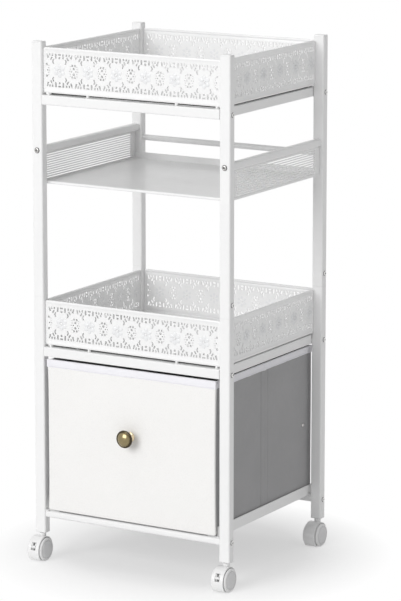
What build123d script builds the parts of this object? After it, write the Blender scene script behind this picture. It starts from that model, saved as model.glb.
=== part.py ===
from build123d import *
import os
from math import cos, radians, sin, sqrt

os.makedirs("parts", exist_ok=True)

# Rolling organizer cart: four posts on casters, two pierced trays, an open shelf and a drawer.
# Millimetres. X runs left to right, Y from the front to the rear, Z up from the floor.
# Heights named *_above_post are measured from the lower end of the posts.

# Overall frame
cart_width = 380.0
cart_depth = 330.0
lower_post_length = 407.5
upper_post_length = 427.6

# Posts: rounded rectangular tube in two lengths, joined end to end
post_width = 20.0
post_depth = 16.0
post_wall = 1.2
post_corner = 3.0
cap_rim = 2.0
cap_taper = 15.0
plug_clearance = 0.15
cap_plug_length = 12.0
joiner_length = 76.0
joiner_wall = 1.5

# Bolts, drawn with flats in place of round sides because there are many of them
bolt_sides = 6
head_sides = 8
bolt_radius = 2.5
bolt_clearance = 0.15
bolt_grip = 12.0
side_head_radius = 3.7
side_head_rise = 2.0
shelf_head_radius = 4.9
shelf_head_rise = 2.4
joiner_bolt_above_seam = 22.1
joiner_bolt_length = 5.0
head_taper = 25.0

# Rail rings under the two trays
rail_height = 16.2
rail_depth = 16.0
rail_corner = 2.0
lower_ring_above_post = 314.0
upper_ring_above_post = 740.4

# Base tubes between the posts and the angle runners that carry the drawer
base_tube = 12.0
base_tube_corner = 4.0
base_tube_above_post = 32.5
runner_height = 18.0
runner_ledge = 18.0
runner_sheet = 1.5
runner_set_back = 7.0
runner_tab_set_back = 1.0

# Pierced trays
tray_height = 75.6
tray_sheet = 1.2
tray_recess = 6.0
tray_side_inset = 16.5
tray_gap = 3.8
tray_post_clearance = 0.3
rim_height = 4.0
rim_depth = 3.0
spacer_radius = 3.0
spacer_post_gap = 9.0

# Pierced pattern: flowers at an even pitch with oval medallions between them
flower_count = 6
cross_end_margin = 31.6
side_end_margin = 13.9
pattern_margin = 10.0
pattern_end_gap = 4.0
border_bar_height = 7.5
border_bar_width = 5.0
border_bars_per_flower = 2
leaf_inner_x = 8.5
leaf_inner_y = 14.5
leaf_length = 8.0
leaf_width = 4.0
medallion_hole_width = 7.0
medallion_hole_height = 18.0

# Open shelf
shelf_tube = 12.0
shelf_tube_corner = 3.0
shelf_tube_above_post = 655.0
shelf_floor_above_post = 600.0
shelf_sheet = 1.2
shelf_panel_sheet = 1.0
shelf_end_clearance = 0.3
shelf_lip_height = 5.0
shelf_lip_depth = 4.5
shelf_lip_corner = 2.0
shelf_rear_lip = 12.0
guard_tube_radius = 5.0
guard_tube_above_post = 636.0
slot_count = 12
slot_height = 1.9
slot_pitch = 3.5
slot_end_margin = 12.0

# Drawer
drawer_post_gap = 6.6
drawer_height = 261.2
drawer_running_gap = 0.3
drawer_front_thickness = 5.0
drawer_front_corner = 3.0
drawer_front_edge = 1.2
drawer_side_inset = 1.0
drawer_rear_gap = 1.6
drawer_wall = 2.6
drawer_base_thickness = 4.0
drawer_wall_drop = 0.8
binding_height = 12.2
binding_proud = 0.7
stud_radius = 3.2
stud_rise = 2.2
stud_from_rear = 31.4
stud_above_post = 165.5

# Knob
knob_reach = 25.0
knob_radius = 15.0
knob_neck_radius = 5.0
knob_foot_radius = 8.5
knob_foot_thickness = 2.0
knob_above_post = 188.5
knob_neck_length = 13.0
knob_rim_height = 3.0
knob_dome_rise = 4.0
screw_radius = 2.0
screw_clearance = 0.1
screw_head_radius = 4.5
screw_head_thickness = 1.8
screw_bite = 9.0
screw_end_clearance = 0.5

# Twin-wheel casters
caster_height = 48.5
wheel_radius = 20.0
wheel_width = 10.0
wheel_inner_face = 5.2
wheel_edge = 2.6
wheel_face_skin = 1.5
axle_end_inset = 2.0
axle_radius = 1.75
axle_offset = 9.0
axle_press_gap = 0.02
running_gap = 0.05
hood_gap = 0.8
hood_thickness = 1.5
hood_half_width = 10.8
hood_front_drop = 52.0
hood_rear_drop = 8.0
web_half_width = 4.6
web_hub_radius = 5.0
neck_radius = 5.5
neck_clearance = 0.3
stem_radius = 3.5
stem_length = 36.0
stem_bite = 13.0
collar_radius = 5.5
collar_thickness = 1.0
socket_length = 26.0
socket_flange = 1.0
socket_flange_inset = 2.0

# Brake levers of the two front casters
lever_width = 3.6
lever_pad_width = 8.0
lever_pad_length = 4.0
lever_thickness = 2.4
lever_pivot_radius = 1.1
lever_pivot_arm = 11.0
lever_pivot_angle = 42.0
lever_boss_radius = 2.6
lever_reach = 24.6
lever_angle = 20.0
lever_slot_gap = 0.3
window_low_angle = 4.0
window_high_angle = 66.0
window_top_angle = 40.0
pad_window_depth = 2.6

# Places worked out from the sizes above
hood_inner = wheel_radius + hood_gap
hood_outer = hood_inner + hood_thickness
rear_reach = max(shelf_head_rise, hood_outer - axle_offset - post_depth / 2)
front_y = (knob_reach - cart_depth - rear_reach) / 2
rear_y = front_y + cart_depth
middle_y = (front_y + rear_y) / 2
post_x = cart_width / 2 - post_width / 2
inner_x = cart_width / 2 - post_width
front_post_y = front_y + post_depth / 2
rear_post_y = rear_y - post_depth / 2
seam_z = caster_height + lower_post_length
post_top_z = seam_z + upper_post_length
joiner_bolt_z = seam_z + joiner_bolt_above_seam
lower_ring_z = caster_height + lower_ring_above_post
upper_ring_z = caster_height + upper_ring_above_post
base_tube_z = caster_height + base_tube_above_post
base_tube_top = base_tube_z + base_tube / 2
shelf_tube_z = caster_height + shelf_tube_above_post
shelf_floor_z = caster_height + shelf_floor_above_post
guard_tube_z = caster_height + guard_tube_above_post
plug_width = post_width - 2 * (post_wall + plug_clearance)
plug_depth = post_depth - 2 * (post_wall + plug_clearance)
bolt_hole = bolt_radius + bolt_clearance
drawer_width = 2 * (inner_x - drawer_post_gap)

corners = {
    "front_left": (-post_x, front_post_y),
    "front_right": (post_x, front_post_y),
    "rear_left": (-post_x, rear_post_y),
    "rear_right": (post_x, rear_post_y),
}


def save(part, name):
    """Label a finished sub-part and write it under its own name."""
    part.label = name
    export_step(part, f"parts/{name}.step")


def outward_x(x, y, z):
    """Plane at a post whose normal points out of the cart's side."""
    return Plane((x, y, z), z_dir=(1 if x > 0 else -1, 0, 0))


def outward_y(x, y, z):
    """Plane at a post whose normal points out of the cart's front or rear."""
    return Plane((x, y, z), z_dir=(0, 1 if y > middle_y else -1, 0))


def section_along_x(x, y, z):
    """Plane whose sketch lies in Y and Z and is extruded towards +X."""
    return Plane((x, y, z), x_dir=(0, 1, 0), z_dir=(1, 0, 0))


def section_along_y(x, y, z):
    """Plane whose sketch lies in X and Z and is extruded towards +Y."""
    return Plane((x, y, z), x_dir=(-1, 0, 0), z_dir=(0, 1, 0))


def post_tube():
    """Section of a post's tube."""
    RectangleRounded(post_width, post_depth, post_corner)
    Rectangle(post_width - 2 * post_wall, post_depth - 2 * post_wall, mode=Mode.SUBTRACT)


# Posts
for corner, (x, y) in corners.items():
    side_face = x + (post_width / 2 if x > 0 else -post_width / 2)
    with BuildPart() as lower_post:
        with BuildSketch(Plane((x, y, caster_height))):
            post_tube()
        extrude(amount=lower_post_length)
        with BuildSketch(outward_x(x, y, base_tube_z), outward_x(x, y, lower_ring_z)):
            RegularPolygon(bolt_hole, bolt_sides)
        extrude(amount=post_width, both=True, mode=Mode.SUBTRACT)
    save(lower_post.part, f"lower_post_{corner}")

    with BuildPart() as upper_post:
        with BuildSketch(Plane((x, y, seam_z))):
            post_tube()
        extrude(amount=upper_post_length)
        with BuildSketch(outward_x(x, y, upper_ring_z), outward_y(x, y, shelf_tube_z)):
            RegularPolygon(bolt_hole, bolt_sides)
        extrude(amount=post_width, both=True, mode=Mode.SUBTRACT)
        with BuildSketch(outward_x(side_face, y, joiner_bolt_z)):
            RegularPolygon(bolt_hole, bolt_sides)
        extrude(amount=-post_width / 2, mode=Mode.SUBTRACT)
    save(upper_post.part, f"upper_post_{corner}")

# Inner tubes that join the lower and upper posts
with BuildPart() as post_joiners:
    for x, y in corners.values():
        with BuildSketch(Plane((x, y, seam_z - joiner_length / 2))):
            Rectangle(plug_width, plug_depth)
            Rectangle(plug_width - 2 * joiner_wall, plug_depth - 2 * joiner_wall, mode=Mode.SUBTRACT)
    extrude(amount=joiner_length)
    for x, y in corners.values():
        side_face = x + (post_width / 2 if x > 0 else -post_width / 2)
        with BuildSketch(outward_x(side_face, y, joiner_bolt_z)):
            RegularPolygon(bolt_hole, bolt_sides)
    extrude(amount=-post_width / 2, mode=Mode.SUBTRACT)
save(post_joiners.part, "post_joiners")

# Push-in caps on the post tops
with BuildPart() as post_caps:
    for x, y in corners.values():
        with BuildSketch(Plane((x, y, post_top_z))):
            RectangleRounded(post_width, post_depth, post_corner)
    extrude(amount=cap_rim, taper=cap_taper)
    for x, y in corners.values():
        with BuildSketch(Plane((x, y, post_top_z))):
            Rectangle(plug_width, plug_depth)
    extrude(amount=-cap_plug_length)
save(post_caps.part, "post_caps")

# Sockets pushed into the lower ends of the posts, bored for the caster stems
with BuildPart() as caster_sockets:
    for x, y in corners.values():
        with BuildSketch(Plane((x, y, caster_height))):
            Rectangle(plug_width, plug_depth)
            Circle(stem_radius + running_gap, mode=Mode.SUBTRACT)
    extrude(amount=socket_length)
    for x, y in corners.values():
        with BuildSketch(Plane((x, y, caster_height))):
            Rectangle(post_width - socket_flange_inset, post_depth - socket_flange_inset)
            Circle(stem_radius + running_gap, mode=Mode.SUBTRACT)
    extrude(amount=-socket_flange)
save(caster_sockets.part, "caster_sockets")

# Welded rail rings, bolted through the posts' outer sides
side_rail_x = inner_x - rail_depth / 2
side_rail_length = cart_depth - 2 * rail_depth
for ring, ring_z in (("lower", lower_ring_z), ("upper", upper_ring_z)):
    for end, rail_y in (("front", front_y + rail_depth / 2), ("rear", rear_y - rail_depth / 2)):
        with BuildPart() as cross_rail:
            with BuildSketch(section_along_x(-inner_x, rail_y, ring_z)):
                RectangleRounded(rail_depth, rail_height, rail_corner)
            extrude(amount=2 * inner_x)
            bolt_y = front_post_y if end == "front" else rear_post_y
            with BuildSketch(outward_x(-inner_x, bolt_y, ring_z), outward_x(inner_x, bolt_y, ring_z)):
                RegularPolygon(bolt_hole, bolt_sides)
            extrude(amount=-(bolt_grip + 1), mode=Mode.SUBTRACT)
        save(cross_rail.part, f"{ring}_ring_{end}_rail")

    with BuildPart() as side_rails:
        for x in (-side_rail_x, side_rail_x):
            with BuildSketch(section_along_y(x, front_y + rail_depth, ring_z)):
                RectangleRounded(rail_depth, rail_height, rail_corner)
        extrude(amount=side_rail_length)
    save(side_rails.part, f"{ring}_ring_side_rails")

# Base tubes between the posts
with BuildPart() as base_tubes:
    for tube_y in (front_post_y, rear_post_y):
        with BuildSketch(section_along_x(-inner_x, tube_y, base_tube_z)):
            RectangleRounded(base_tube, base_tube, base_tube_corner)
    extrude(amount=2 * inner_x)
    for tube_y in (front_post_y, rear_post_y):
        with BuildSketch(outward_x(-inner_x, tube_y, base_tube_z), outward_x(inner_x, tube_y, base_tube_z)):
            RegularPolygon(bolt_hole, bolt_sides)
    extrude(amount=-(bolt_grip + 1), mode=Mode.SUBTRACT)
save(base_tubes.part, "base_tubes")

# Angle runners: an upright flange beside the drawer and a ledge under it, tabbed to the posts
drawer_box_half = drawer_width / 2 - drawer_side_inset
runner_flange_x = drawer_width / 2 + drawer_running_gap
runner_start = front_y + runner_set_back
runner_length = cart_depth - runner_set_back - runner_tab_set_back
tab_length = post_depth - runner_tab_set_back
tab_width = inner_x - runner_flange_x
with BuildPart() as drawer_runners:
    with BuildSketch(Plane((runner_flange_x, runner_start, base_tube_top))):
        Rectangle(runner_sheet, runner_length, align=(Align.MIN, Align.MIN))
    extrude(amount=runner_height)
    with BuildSketch(Plane((runner_flange_x, runner_start, base_tube_top))):
        Rectangle(runner_ledge, runner_length, align=(Align.MAX, Align.MIN))
    extrude(amount=runner_sheet)
    for tab_y in (front_y + runner_tab_set_back, rear_y - post_depth):
        with BuildSketch(Plane((runner_flange_x, tab_y, base_tube_top))):
            Rectangle(tab_width, tab_length, align=(Align.MIN, Align.MIN))
    extrude(amount=runner_sheet)
    mirror(about=Plane.YZ)
save(drawer_runners.part, "drawer_runners")

# Trays
tray_half_x = cart_width / 2 - tray_side_inset
tray_front_y = front_y + tray_recess
tray_rear_y = rear_y - tray_recess
cross_wall_length = 2 * (inner_x - tray_post_clearance)
side_wall_length = cart_depth - 2 * (post_depth + tray_post_clearance)
floor_width = 2 * (tray_half_x - tray_sheet)
floor_depth = tray_rear_y - tray_front_y - 2 * tray_sheet


def pierced_wall(length, end_margin):
    """Sketch of one pierced tray wall, its middle at the sketch's origin."""
    pitch = (length - 2 * end_margin) / (flower_count - 1)
    flowers = [(place - (flower_count - 1) / 2) * pitch for place in range(flower_count)]
    medallions = [(place - flower_count / 2) * pitch for place in range(flower_count + 1)]
    bars = [x + side * pitch / 4 for x in medallions for side in (-1, 1)]
    border_y = tray_height / 2 - pattern_margin - border_bar_height / 2
    half_width = medallion_hole_width / 2
    half_height = medallion_hole_height / 2
    leaf_end = leaf_inner_x + leaf_length

    def fits(x, reach):
        return abs(x) + reach <= length / 2 - pattern_end_gap

    with BuildSketch() as wall:
        Rectangle(length, tray_height)
        for x in bars:
            if fits(x, border_bar_width / 2):
                with Locations((x, -border_y), (x, border_y)):
                    Rectangle(border_bar_width, border_bar_height, mode=Mode.SUBTRACT)
        for x in flowers:
            for across in (-1, 1):
                for up in (-1, 1):
                    if fits(x + across * leaf_end, 0):
                        Polygon((x + across * leaf_inner_x, up * leaf_inner_y),
                                (x + across * leaf_end, up * (leaf_inner_y - leaf_width)),
                                (x + across * leaf_end, up * (leaf_inner_y + leaf_width)),
                                align=None, mode=Mode.SUBTRACT)
        for x in medallions:
            if fits(x, half_width):
                Polygon((x - half_width, 0), (x, -half_height), (x + half_width, 0), (x, half_height),
                        align=None, mode=Mode.SUBTRACT)
    return wall.sketch


cross_wall_sketch = pierced_wall(cross_wall_length, cross_end_margin)
side_wall_sketch = pierced_wall(side_wall_length, side_end_margin)


for tray, ring_z in (("lower", lower_ring_z), ("upper", upper_ring_z)):
    tray_z = ring_z + rail_height / 2 + tray_gap
    wall_z = tray_z + tray_height / 2
    rim_z = tray_z + tray_height - rim_height

    with BuildPart() as tray_floor:
        with BuildSketch(Plane((0, middle_y, tray_z))):
            Rectangle(floor_width, floor_depth)
            notch_x = floor_width / 2 - (inner_x - tray_post_clearance)
            notch_y = floor_depth / 2 - side_wall_length / 2
            with GridLocations(floor_width - notch_x, floor_depth - notch_y, 2, 2):
                Rectangle(notch_x, notch_y, mode=Mode.SUBTRACT)
        extrude(amount=tray_sheet)
    save(tray_floor.part, f"{tray}_tray_floor")

    for end, wall_y, inward in (("front", tray_front_y, 1), ("rear", tray_rear_y, -1)):
        with BuildPart() as cross_wall:
            with BuildSketch(section_along_y(0, wall_y, wall_z)):
                add(cross_wall_sketch)
            extrude(amount=inward * tray_sheet)
            with BuildSketch(section_along_y(0, wall_y, rim_z + rim_height / 2)):
                Rectangle(cross_wall_length, rim_height)
            extrude(amount=inward * rim_depth)
        save(cross_wall.part, f"{tray}_tray_{end}_lace")

    for side, wall_x, inward in (("left", -tray_half_x, 1), ("right", tray_half_x, -1)):
        with BuildPart() as side_wall:
            with BuildSketch(section_along_x(wall_x, middle_y, wall_z)):
                add(side_wall_sketch)
            extrude(amount=inward * tray_sheet)
            with BuildSketch(section_along_x(wall_x, middle_y, rim_z + rim_height / 2)):
                Rectangle(side_wall_length, rim_height)
            extrude(amount=inward * rim_depth)
        save(side_wall.part, f"{tray}_tray_{side}_lace")

# Spacers that hold each tray clear of its rail ring
spacer_x = inner_x - spacer_post_gap
with BuildPart() as tray_spacers:
    for ring_z in (lower_ring_z, upper_ring_z):
        for spacer_y in (front_y + rail_depth / 2 + 1, rear_y - rail_depth / 2 - 1):
            with BuildSketch(Plane((0, spacer_y, ring_z + rail_height / 2))):
                with Locations((-spacer_x, 0), (-inner_x / 2, 0), (inner_x / 2, 0), (spacer_x, 0)):
                    RegularPolygon(spacer_radius, bolt_sides)
    extrude(amount=tray_gap)
save(tray_spacers.part, "tray_spacers")

# Open shelf: side tubes bolted between the posts, hung panels, floor sheet and rear guard tube
shelf_start = front_y + post_depth
shelf_length = cart_depth - 2 * post_depth
shelf_panel_x = post_x + shelf_tube / 2 - shelf_tube_corner
shelf_panel_top = shelf_tube_z - shelf_tube / 2
shelf_panel_base = shelf_floor_z - shelf_sheet
panel_start = shelf_start + shelf_end_clearance
panel_length = shelf_length - 2 * shelf_end_clearance
with BuildPart() as shelf_side_tubes:
    for x in (-post_x, post_x):
        with BuildSketch(section_along_y(x, shelf_start, shelf_tube_z)):
            RectangleRounded(shelf_tube, shelf_tube, shelf_tube_corner)
    extrude(amount=shelf_length)
    for x in (-post_x, post_x):
        for end_y in (shelf_start, shelf_start + shelf_length):
            with BuildSketch(outward_y(x, end_y, shelf_tube_z)):
                RegularPolygon(bolt_hole, bolt_sides)
    extrude(amount=-(bolt_grip + 1), mode=Mode.SUBTRACT)
save(shelf_side_tubes.part, "shelf_side_tubes")

with BuildPart() as shelf_guard_tube:
    with BuildSketch(section_along_x(-inner_x, rear_post_y, guard_tube_z)):
        Circle(guard_tube_radius)
    extrude(amount=2 * inner_x)
save(shelf_guard_tube.part, "shelf_guard_tube")

with BuildPart() as shelf_floor:
    with BuildSketch(section_along_x(-(shelf_panel_x - shelf_panel_sheet), panel_start, shelf_floor_z)):
        Rectangle(panel_length, shelf_sheet, align=(Align.MIN, Align.MAX))
        RectangleRounded(shelf_lip_depth, shelf_lip_height, shelf_lip_corner,
                         align=(Align.MIN, Align.CENTER))
        with Locations((panel_length, -shelf_sheet)):
            Rectangle(shelf_sheet, shelf_rear_lip, align=(Align.MAX, Align.MIN))
    extrude(amount=2 * (shelf_panel_x - shelf_panel_sheet))
save(shelf_floor.part, "shelf_floor")

with BuildPart() as shelf_side_panels:
    panel_height = shelf_panel_top - shelf_panel_base
    with BuildSketch(section_along_x(shelf_panel_x, middle_y, shelf_panel_base + panel_height / 2)):
        Rectangle(panel_length, panel_height)
        with GridLocations(1, slot_pitch, 1, slot_count):
            Rectangle(panel_length - 2 * slot_end_margin, slot_height, mode=Mode.SUBTRACT)
    extrude(amount=-shelf_panel_sheet)
    mirror(about=Plane.YZ)
save(shelf_side_panels.part, "shelf_side_panels")


# Bolts through the posts' outer sides, and the shorter ones that hold the inner joiners
frame_bolt_planes = []
joiner_bolt_planes = []
shelf_bolt_planes = []
for x, y in corners.values():
    side_face = x + (post_width / 2 if x > 0 else -post_width / 2)
    frame_bolt_planes += [outward_x(side_face, y, z) for z in (base_tube_z, lower_ring_z, upper_ring_z)]
    joiner_bolt_planes.append(outward_x(side_face, y, joiner_bolt_z))
    shelf_bolt_planes.append(outward_y(x, front_y if y < middle_y else rear_y, shelf_tube_z))

with BuildPart() as side_bolts:
    with BuildSketch(*frame_bolt_planes):
        RegularPolygon(bolt_radius, bolt_sides)
    extrude(amount=-(post_width + bolt_grip))
    with BuildSketch(*joiner_bolt_planes):
        RegularPolygon(bolt_radius, bolt_sides)
    extrude(amount=-joiner_bolt_length)
    with BuildSketch(*frame_bolt_planes, *joiner_bolt_planes):
        RegularPolygon(side_head_radius, head_sides)
    extrude(amount=side_head_rise, taper=head_taper)
save(side_bolts.part, "side_bolts")

# Bolts through the posts' front and rear faces into the shelf's side tubes
with BuildPart() as shelf_bolts:
    with BuildSketch(*shelf_bolt_planes):
        RegularPolygon(bolt_radius, bolt_sides)
    extrude(amount=-(post_depth + bolt_grip))
    with BuildSketch(*shelf_bolt_planes):
        RegularPolygon(shelf_head_radius, head_sides)
    extrude(amount=shelf_head_rise, taper=head_taper)
save(shelf_bolts.part, "shelf_bolts")

# Drawer: a stiff covered front, boarded fabric walls, a base board laid between them and a sewn binding
drawer_base_z = base_tube_top + runner_sheet + drawer_running_gap
drawer_top_z = drawer_base_z + drawer_height
drawer_back_y = rear_y - drawer_rear_gap
box_start = front_y + drawer_front_thickness
box_length = drawer_back_y - box_start
wall_top_z = drawer_top_z - drawer_wall_drop - binding_proud
wall_height = wall_top_z - drawer_base_z
knob_z = caster_height + knob_above_post

with BuildPart() as drawer_front:
    with BuildSketch(section_along_y(0, box_start, (drawer_base_z + drawer_top_z) / 2)):
        RectangleRounded(drawer_width, drawer_height, drawer_front_corner)
    extrude(amount=-drawer_front_thickness)
    chamfer(drawer_front.faces().sort_by(Axis.Y)[0].edges(), drawer_front_edge)
    with Locations(Plane((0, box_start, knob_z), z_dir=(0, -1, 0))):
        Hole(screw_radius + screw_clearance, depth=2 * drawer_front_thickness)
save(drawer_front.part, "drawer_front")

with BuildPart() as drawer_base:
    with BuildSketch(Plane((0, box_start, drawer_base_z))):
        Rectangle(2 * (drawer_box_half - drawer_wall), box_length - drawer_wall,
                  align=(Align.CENTER, Align.MIN))
    extrude(amount=drawer_base_thickness)
save(drawer_base.part, "drawer_base")

for side, wall_x, inward in (("left", -drawer_box_half, 1), ("right", drawer_box_half, -1)):
    with BuildPart() as drawer_side:
        with BuildSketch(section_along_x(wall_x, box_start, drawer_base_z)):
            Rectangle(box_length, wall_height, align=(Align.MIN, Align.MIN))
        extrude(amount=inward * drawer_wall)
    save(drawer_side.part, f"drawer_{side}_side")

with BuildPart() as drawer_back:
    with BuildSketch(section_along_y(0, drawer_back_y, drawer_base_z)):
        Rectangle(2 * (drawer_box_half - drawer_wall), wall_height, align=(Align.CENTER, Align.MIN))
    extrude(amount=-drawer_wall)
save(drawer_back.part, "drawer_back")


def wall_strip(growth):
    """Plan of the two sides and the back, grown outward and inward by this amount."""
    hollow_half = drawer_box_half - drawer_wall - growth
    Rectangle(2 * (drawer_box_half + growth), box_length + growth, align=(Align.CENTER, Align.MIN))
    Rectangle(2 * hollow_half, box_length - drawer_wall - growth, align=(Align.CENTER, Align.MIN),
              mode=Mode.SUBTRACT)


with BuildPart() as drawer_binding:
    with BuildSketch(Plane((0, box_start, wall_top_z + binding_proud))):
        wall_strip(binding_proud)
    extrude(amount=-binding_height)
    with BuildSketch(Plane((0, box_start, wall_top_z))):
        wall_strip(0)
    extrude(amount=-binding_height, mode=Mode.SUBTRACT)
save(drawer_binding.part, "drawer_binding")

with BuildPart() as drawer_studs:
    stud_z = caster_height + stud_above_post
    with BuildSketch(section_along_x(drawer_box_half, rear_y - stud_from_rear, stud_z)):
        Circle(stud_radius)
    extrude(amount=stud_rise, taper=head_taper)
    mirror(about=Plane.YZ)
save(drawer_studs.part, "drawer_studs")

# Mushroom knob turned about the line it is pulled along, and the screw that holds it
screw_hole = screw_radius + screw_clearance
screw_hole_end = screw_bite + screw_end_clearance
knob_rim = knob_reach - knob_dome_rise
dome_curve = (knob_radius ** 2 + knob_dome_rise ** 2) / (2 * knob_dome_rise)
with BuildPart() as drawer_knob:
    with BuildSketch(Plane((0, front_y, knob_z), x_dir=(1, 0, 0), z_dir=(0, 0, -1))):
        with BuildLine():
            Polyline((0, screw_hole_end), (screw_hole, screw_hole_end), (screw_hole, 0),
                     (knob_foot_radius, 0), (knob_foot_radius, knob_foot_thickness),
                     (knob_neck_radius, knob_foot_thickness),
                     (knob_neck_radius, knob_neck_length), (knob_radius, knob_rim - knob_rim_height),
                     (knob_radius, knob_rim))
            RadiusArc((knob_radius, knob_rim), (0, knob_reach), -dome_curve)
            Line((0, knob_reach), (0, screw_hole_end))
        make_face()
    revolve(axis=Axis((0, front_y, knob_z), (0, 1, 0)))
save(drawer_knob.part, "drawer_knob")

with BuildPart() as knob_screw:
    with Locations(Plane((0, box_start, knob_z), z_dir=(0, 1, 0))):
        Cylinder(screw_radius, drawer_front_thickness + screw_bite,
                 align=(Align.CENTER, Align.CENTER, Align.MAX))
        Cylinder(screw_head_radius, screw_head_thickness, align=(Align.CENTER, Align.CENTER, Align.MIN))
save(knob_screw.part, "knob_screw")

# Casters
neck_top_z = caster_height - socket_flange - collar_thickness - neck_clearance
stem_base_z = neck_top_z - stem_bite
wheel_outer_face = wheel_inner_face + wheel_width

with BuildPart() as caster_stems:
    for x, y in corners.values():
        with BuildSketch(Plane((x, y, stem_base_z))):
            Circle(stem_radius)
    extrude(amount=stem_length)
    for x, y in corners.values():
        with BuildSketch(Plane((x, y, caster_height - socket_flange))):
            RegularPolygon(collar_radius, head_sides)
    extrude(amount=-collar_thickness)
save(caster_stems.part, "caster_stems")


def hood_sector(inner, outer, low_angle, high_angle):
    """Face between two arcs about the axle, with angles from straight ahead up and over to the rear."""
    with BuildSketch() as sector:
        with BuildLine():
            outer_arc = CenterArc((0, 0), outer, 180 - high_angle, high_angle - low_angle)
            inner_arc = CenterArc((0, 0), inner, 180 - high_angle, high_angle - low_angle)
            Line(outer_arc @ 0, inner_arc @ 0)
            Line(outer_arc @ 1, inner_arc @ 1)
        make_face()
    return sector.sketch


for corner, (x, y) in corners.items():
    axle_y = y - axle_offset
    braked = corner.startswith("front")
    pivot_angle = radians(lever_pivot_angle)
    pivot_y = axle_y - lever_pivot_arm * cos(pivot_angle)
    pivot_z = wheel_radius + lever_pivot_arm * sin(pivot_angle)

    with BuildPart() as caster_hood:
        with BuildSketch(Plane((x, y, neck_top_z))):
            Circle(neck_radius)
        extrude(amount=wheel_radius - neck_top_z)
        with BuildSketch(section_along_x(x, axle_y, wheel_radius)):
            add(hood_sector(hood_inner, hood_outer, -hood_front_drop, 180 + hood_rear_drop))
        extrude(amount=hood_half_width, both=True)
        with BuildSketch(section_along_x(x, axle_y, wheel_radius)):
            Circle(hood_inner)
        extrude(amount=hood_half_width, both=True, mode=Mode.SUBTRACT)
        with BuildSketch(section_along_x(x, axle_y, wheel_radius)):
            add(hood_sector(web_hub_radius - 1, hood_inner + 0.1, -hood_front_drop, 180))
            Circle(web_hub_radius)
        extrude(amount=web_half_width, both=True)
        with Locations((x, y, neck_top_z)):
            Hole(stem_radius + running_gap, depth=stem_bite + 0.5)
        with Locations(section_along_x(x, axle_y, wheel_radius)):
            Hole(axle_radius + running_gap, depth=wheel_outer_face)
        if braked:
            with BuildSketch(section_along_x(x, axle_y, wheel_radius)):
                add(hood_sector(lever_pivot_arm - lever_boss_radius - 1, hood_inner, window_low_angle,
                                window_high_angle))
            extrude(amount=lever_width / 2 + lever_slot_gap, both=True, mode=Mode.SUBTRACT)
            with BuildSketch(section_along_x(x, axle_y, wheel_radius)):
                add(hood_sector(hood_inner - pad_window_depth, hood_outer + hood_thickness,
                                window_low_angle, window_top_angle))
            extrude(amount=lever_pad_width / 2 + lever_slot_gap, both=True, mode=Mode.SUBTRACT)
            with Locations(section_along_x(x, pivot_y, pivot_z)):
                Hole(lever_pivot_radius + running_gap, depth=web_half_width + 1)
    save(caster_hood.part, f"caster_{corner}_hood")

    with BuildPart() as caster_axle:
        with BuildSketch(section_along_x(x, axle_y, wheel_radius)):
            Circle(axle_radius)
        extrude(amount=wheel_outer_face - axle_end_inset, both=True)
    save(caster_axle.part, f"caster_{corner}_axle")

    with BuildPart() as caster_wheels:
        with BuildSketch(Plane((x, axle_y, wheel_radius), x_dir=(1, 0, 0), z_dir=(0, -1, 0))):
            with BuildLine():
                bore = axle_radius + axle_press_gap
                blind = wheel_outer_face - wheel_face_skin
                Polyline((wheel_inner_face, bore), (wheel_inner_face, wheel_radius),
                         (wheel_outer_face - wheel_edge, wheel_radius),
                         (wheel_outer_face, wheel_radius - wheel_edge), (wheel_outer_face, 0),
                         (blind, 0), (blind, bore), (wheel_inner_face, bore))
            make_face()
        revolve(axis=Axis((x, axle_y, wheel_radius), (1, 0, 0)))
        mirror(about=Plane((x, axle_y, wheel_radius), z_dir=(1, 0, 0)))
    save(caster_wheels.part, f"caster_{corner}_wheels")

    if braked:
        with BuildPart() as brake_lever:
            with BuildSketch(section_along_x(x, pivot_y, pivot_z)):
                Circle(lever_pivot_radius)
            extrude(amount=web_half_width, both=True)
            tip_angle = radians(lever_angle)
            tip_y = axle_y - lever_reach * cos(tip_angle)
            tip_z = wheel_radius + lever_reach * sin(tip_angle)
            arm_length = sqrt((tip_y - pivot_y) ** 2 + (tip_z - pivot_z) ** 2)
            arm_plane = Plane((x, pivot_y, pivot_z), x_dir=(0, tip_y - pivot_y, tip_z - pivot_z),
                              z_dir=(1, 0, 0))
            with BuildSketch(arm_plane):
                Circle(lever_boss_radius)
                Rectangle(arm_length, lever_thickness, align=(Align.MIN, Align.CENTER))
            extrude(amount=lever_width / 2, both=True)
            with BuildSketch(arm_plane):
                with Locations((arm_length, 0)):
                    Rectangle(lever_pad_length, lever_thickness, align=(Align.MAX, Align.CENTER))
            extrude(amount=lever_pad_width / 2, both=True)
        save(brake_lever.part, f"caster_{corner}_brake_lever")
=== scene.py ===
"""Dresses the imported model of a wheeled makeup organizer: pressed lace trays, slotted shelf, fabric
drawer with a brass knob, twin-wheel casters, finishes, studio floor, light and camera."""

import logging
import math
from dataclasses import dataclass
from enum import Enum
from typing import Callable, Sequence, Union

import bmesh
import bpy
from mathutils import Matrix, Vector


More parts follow.
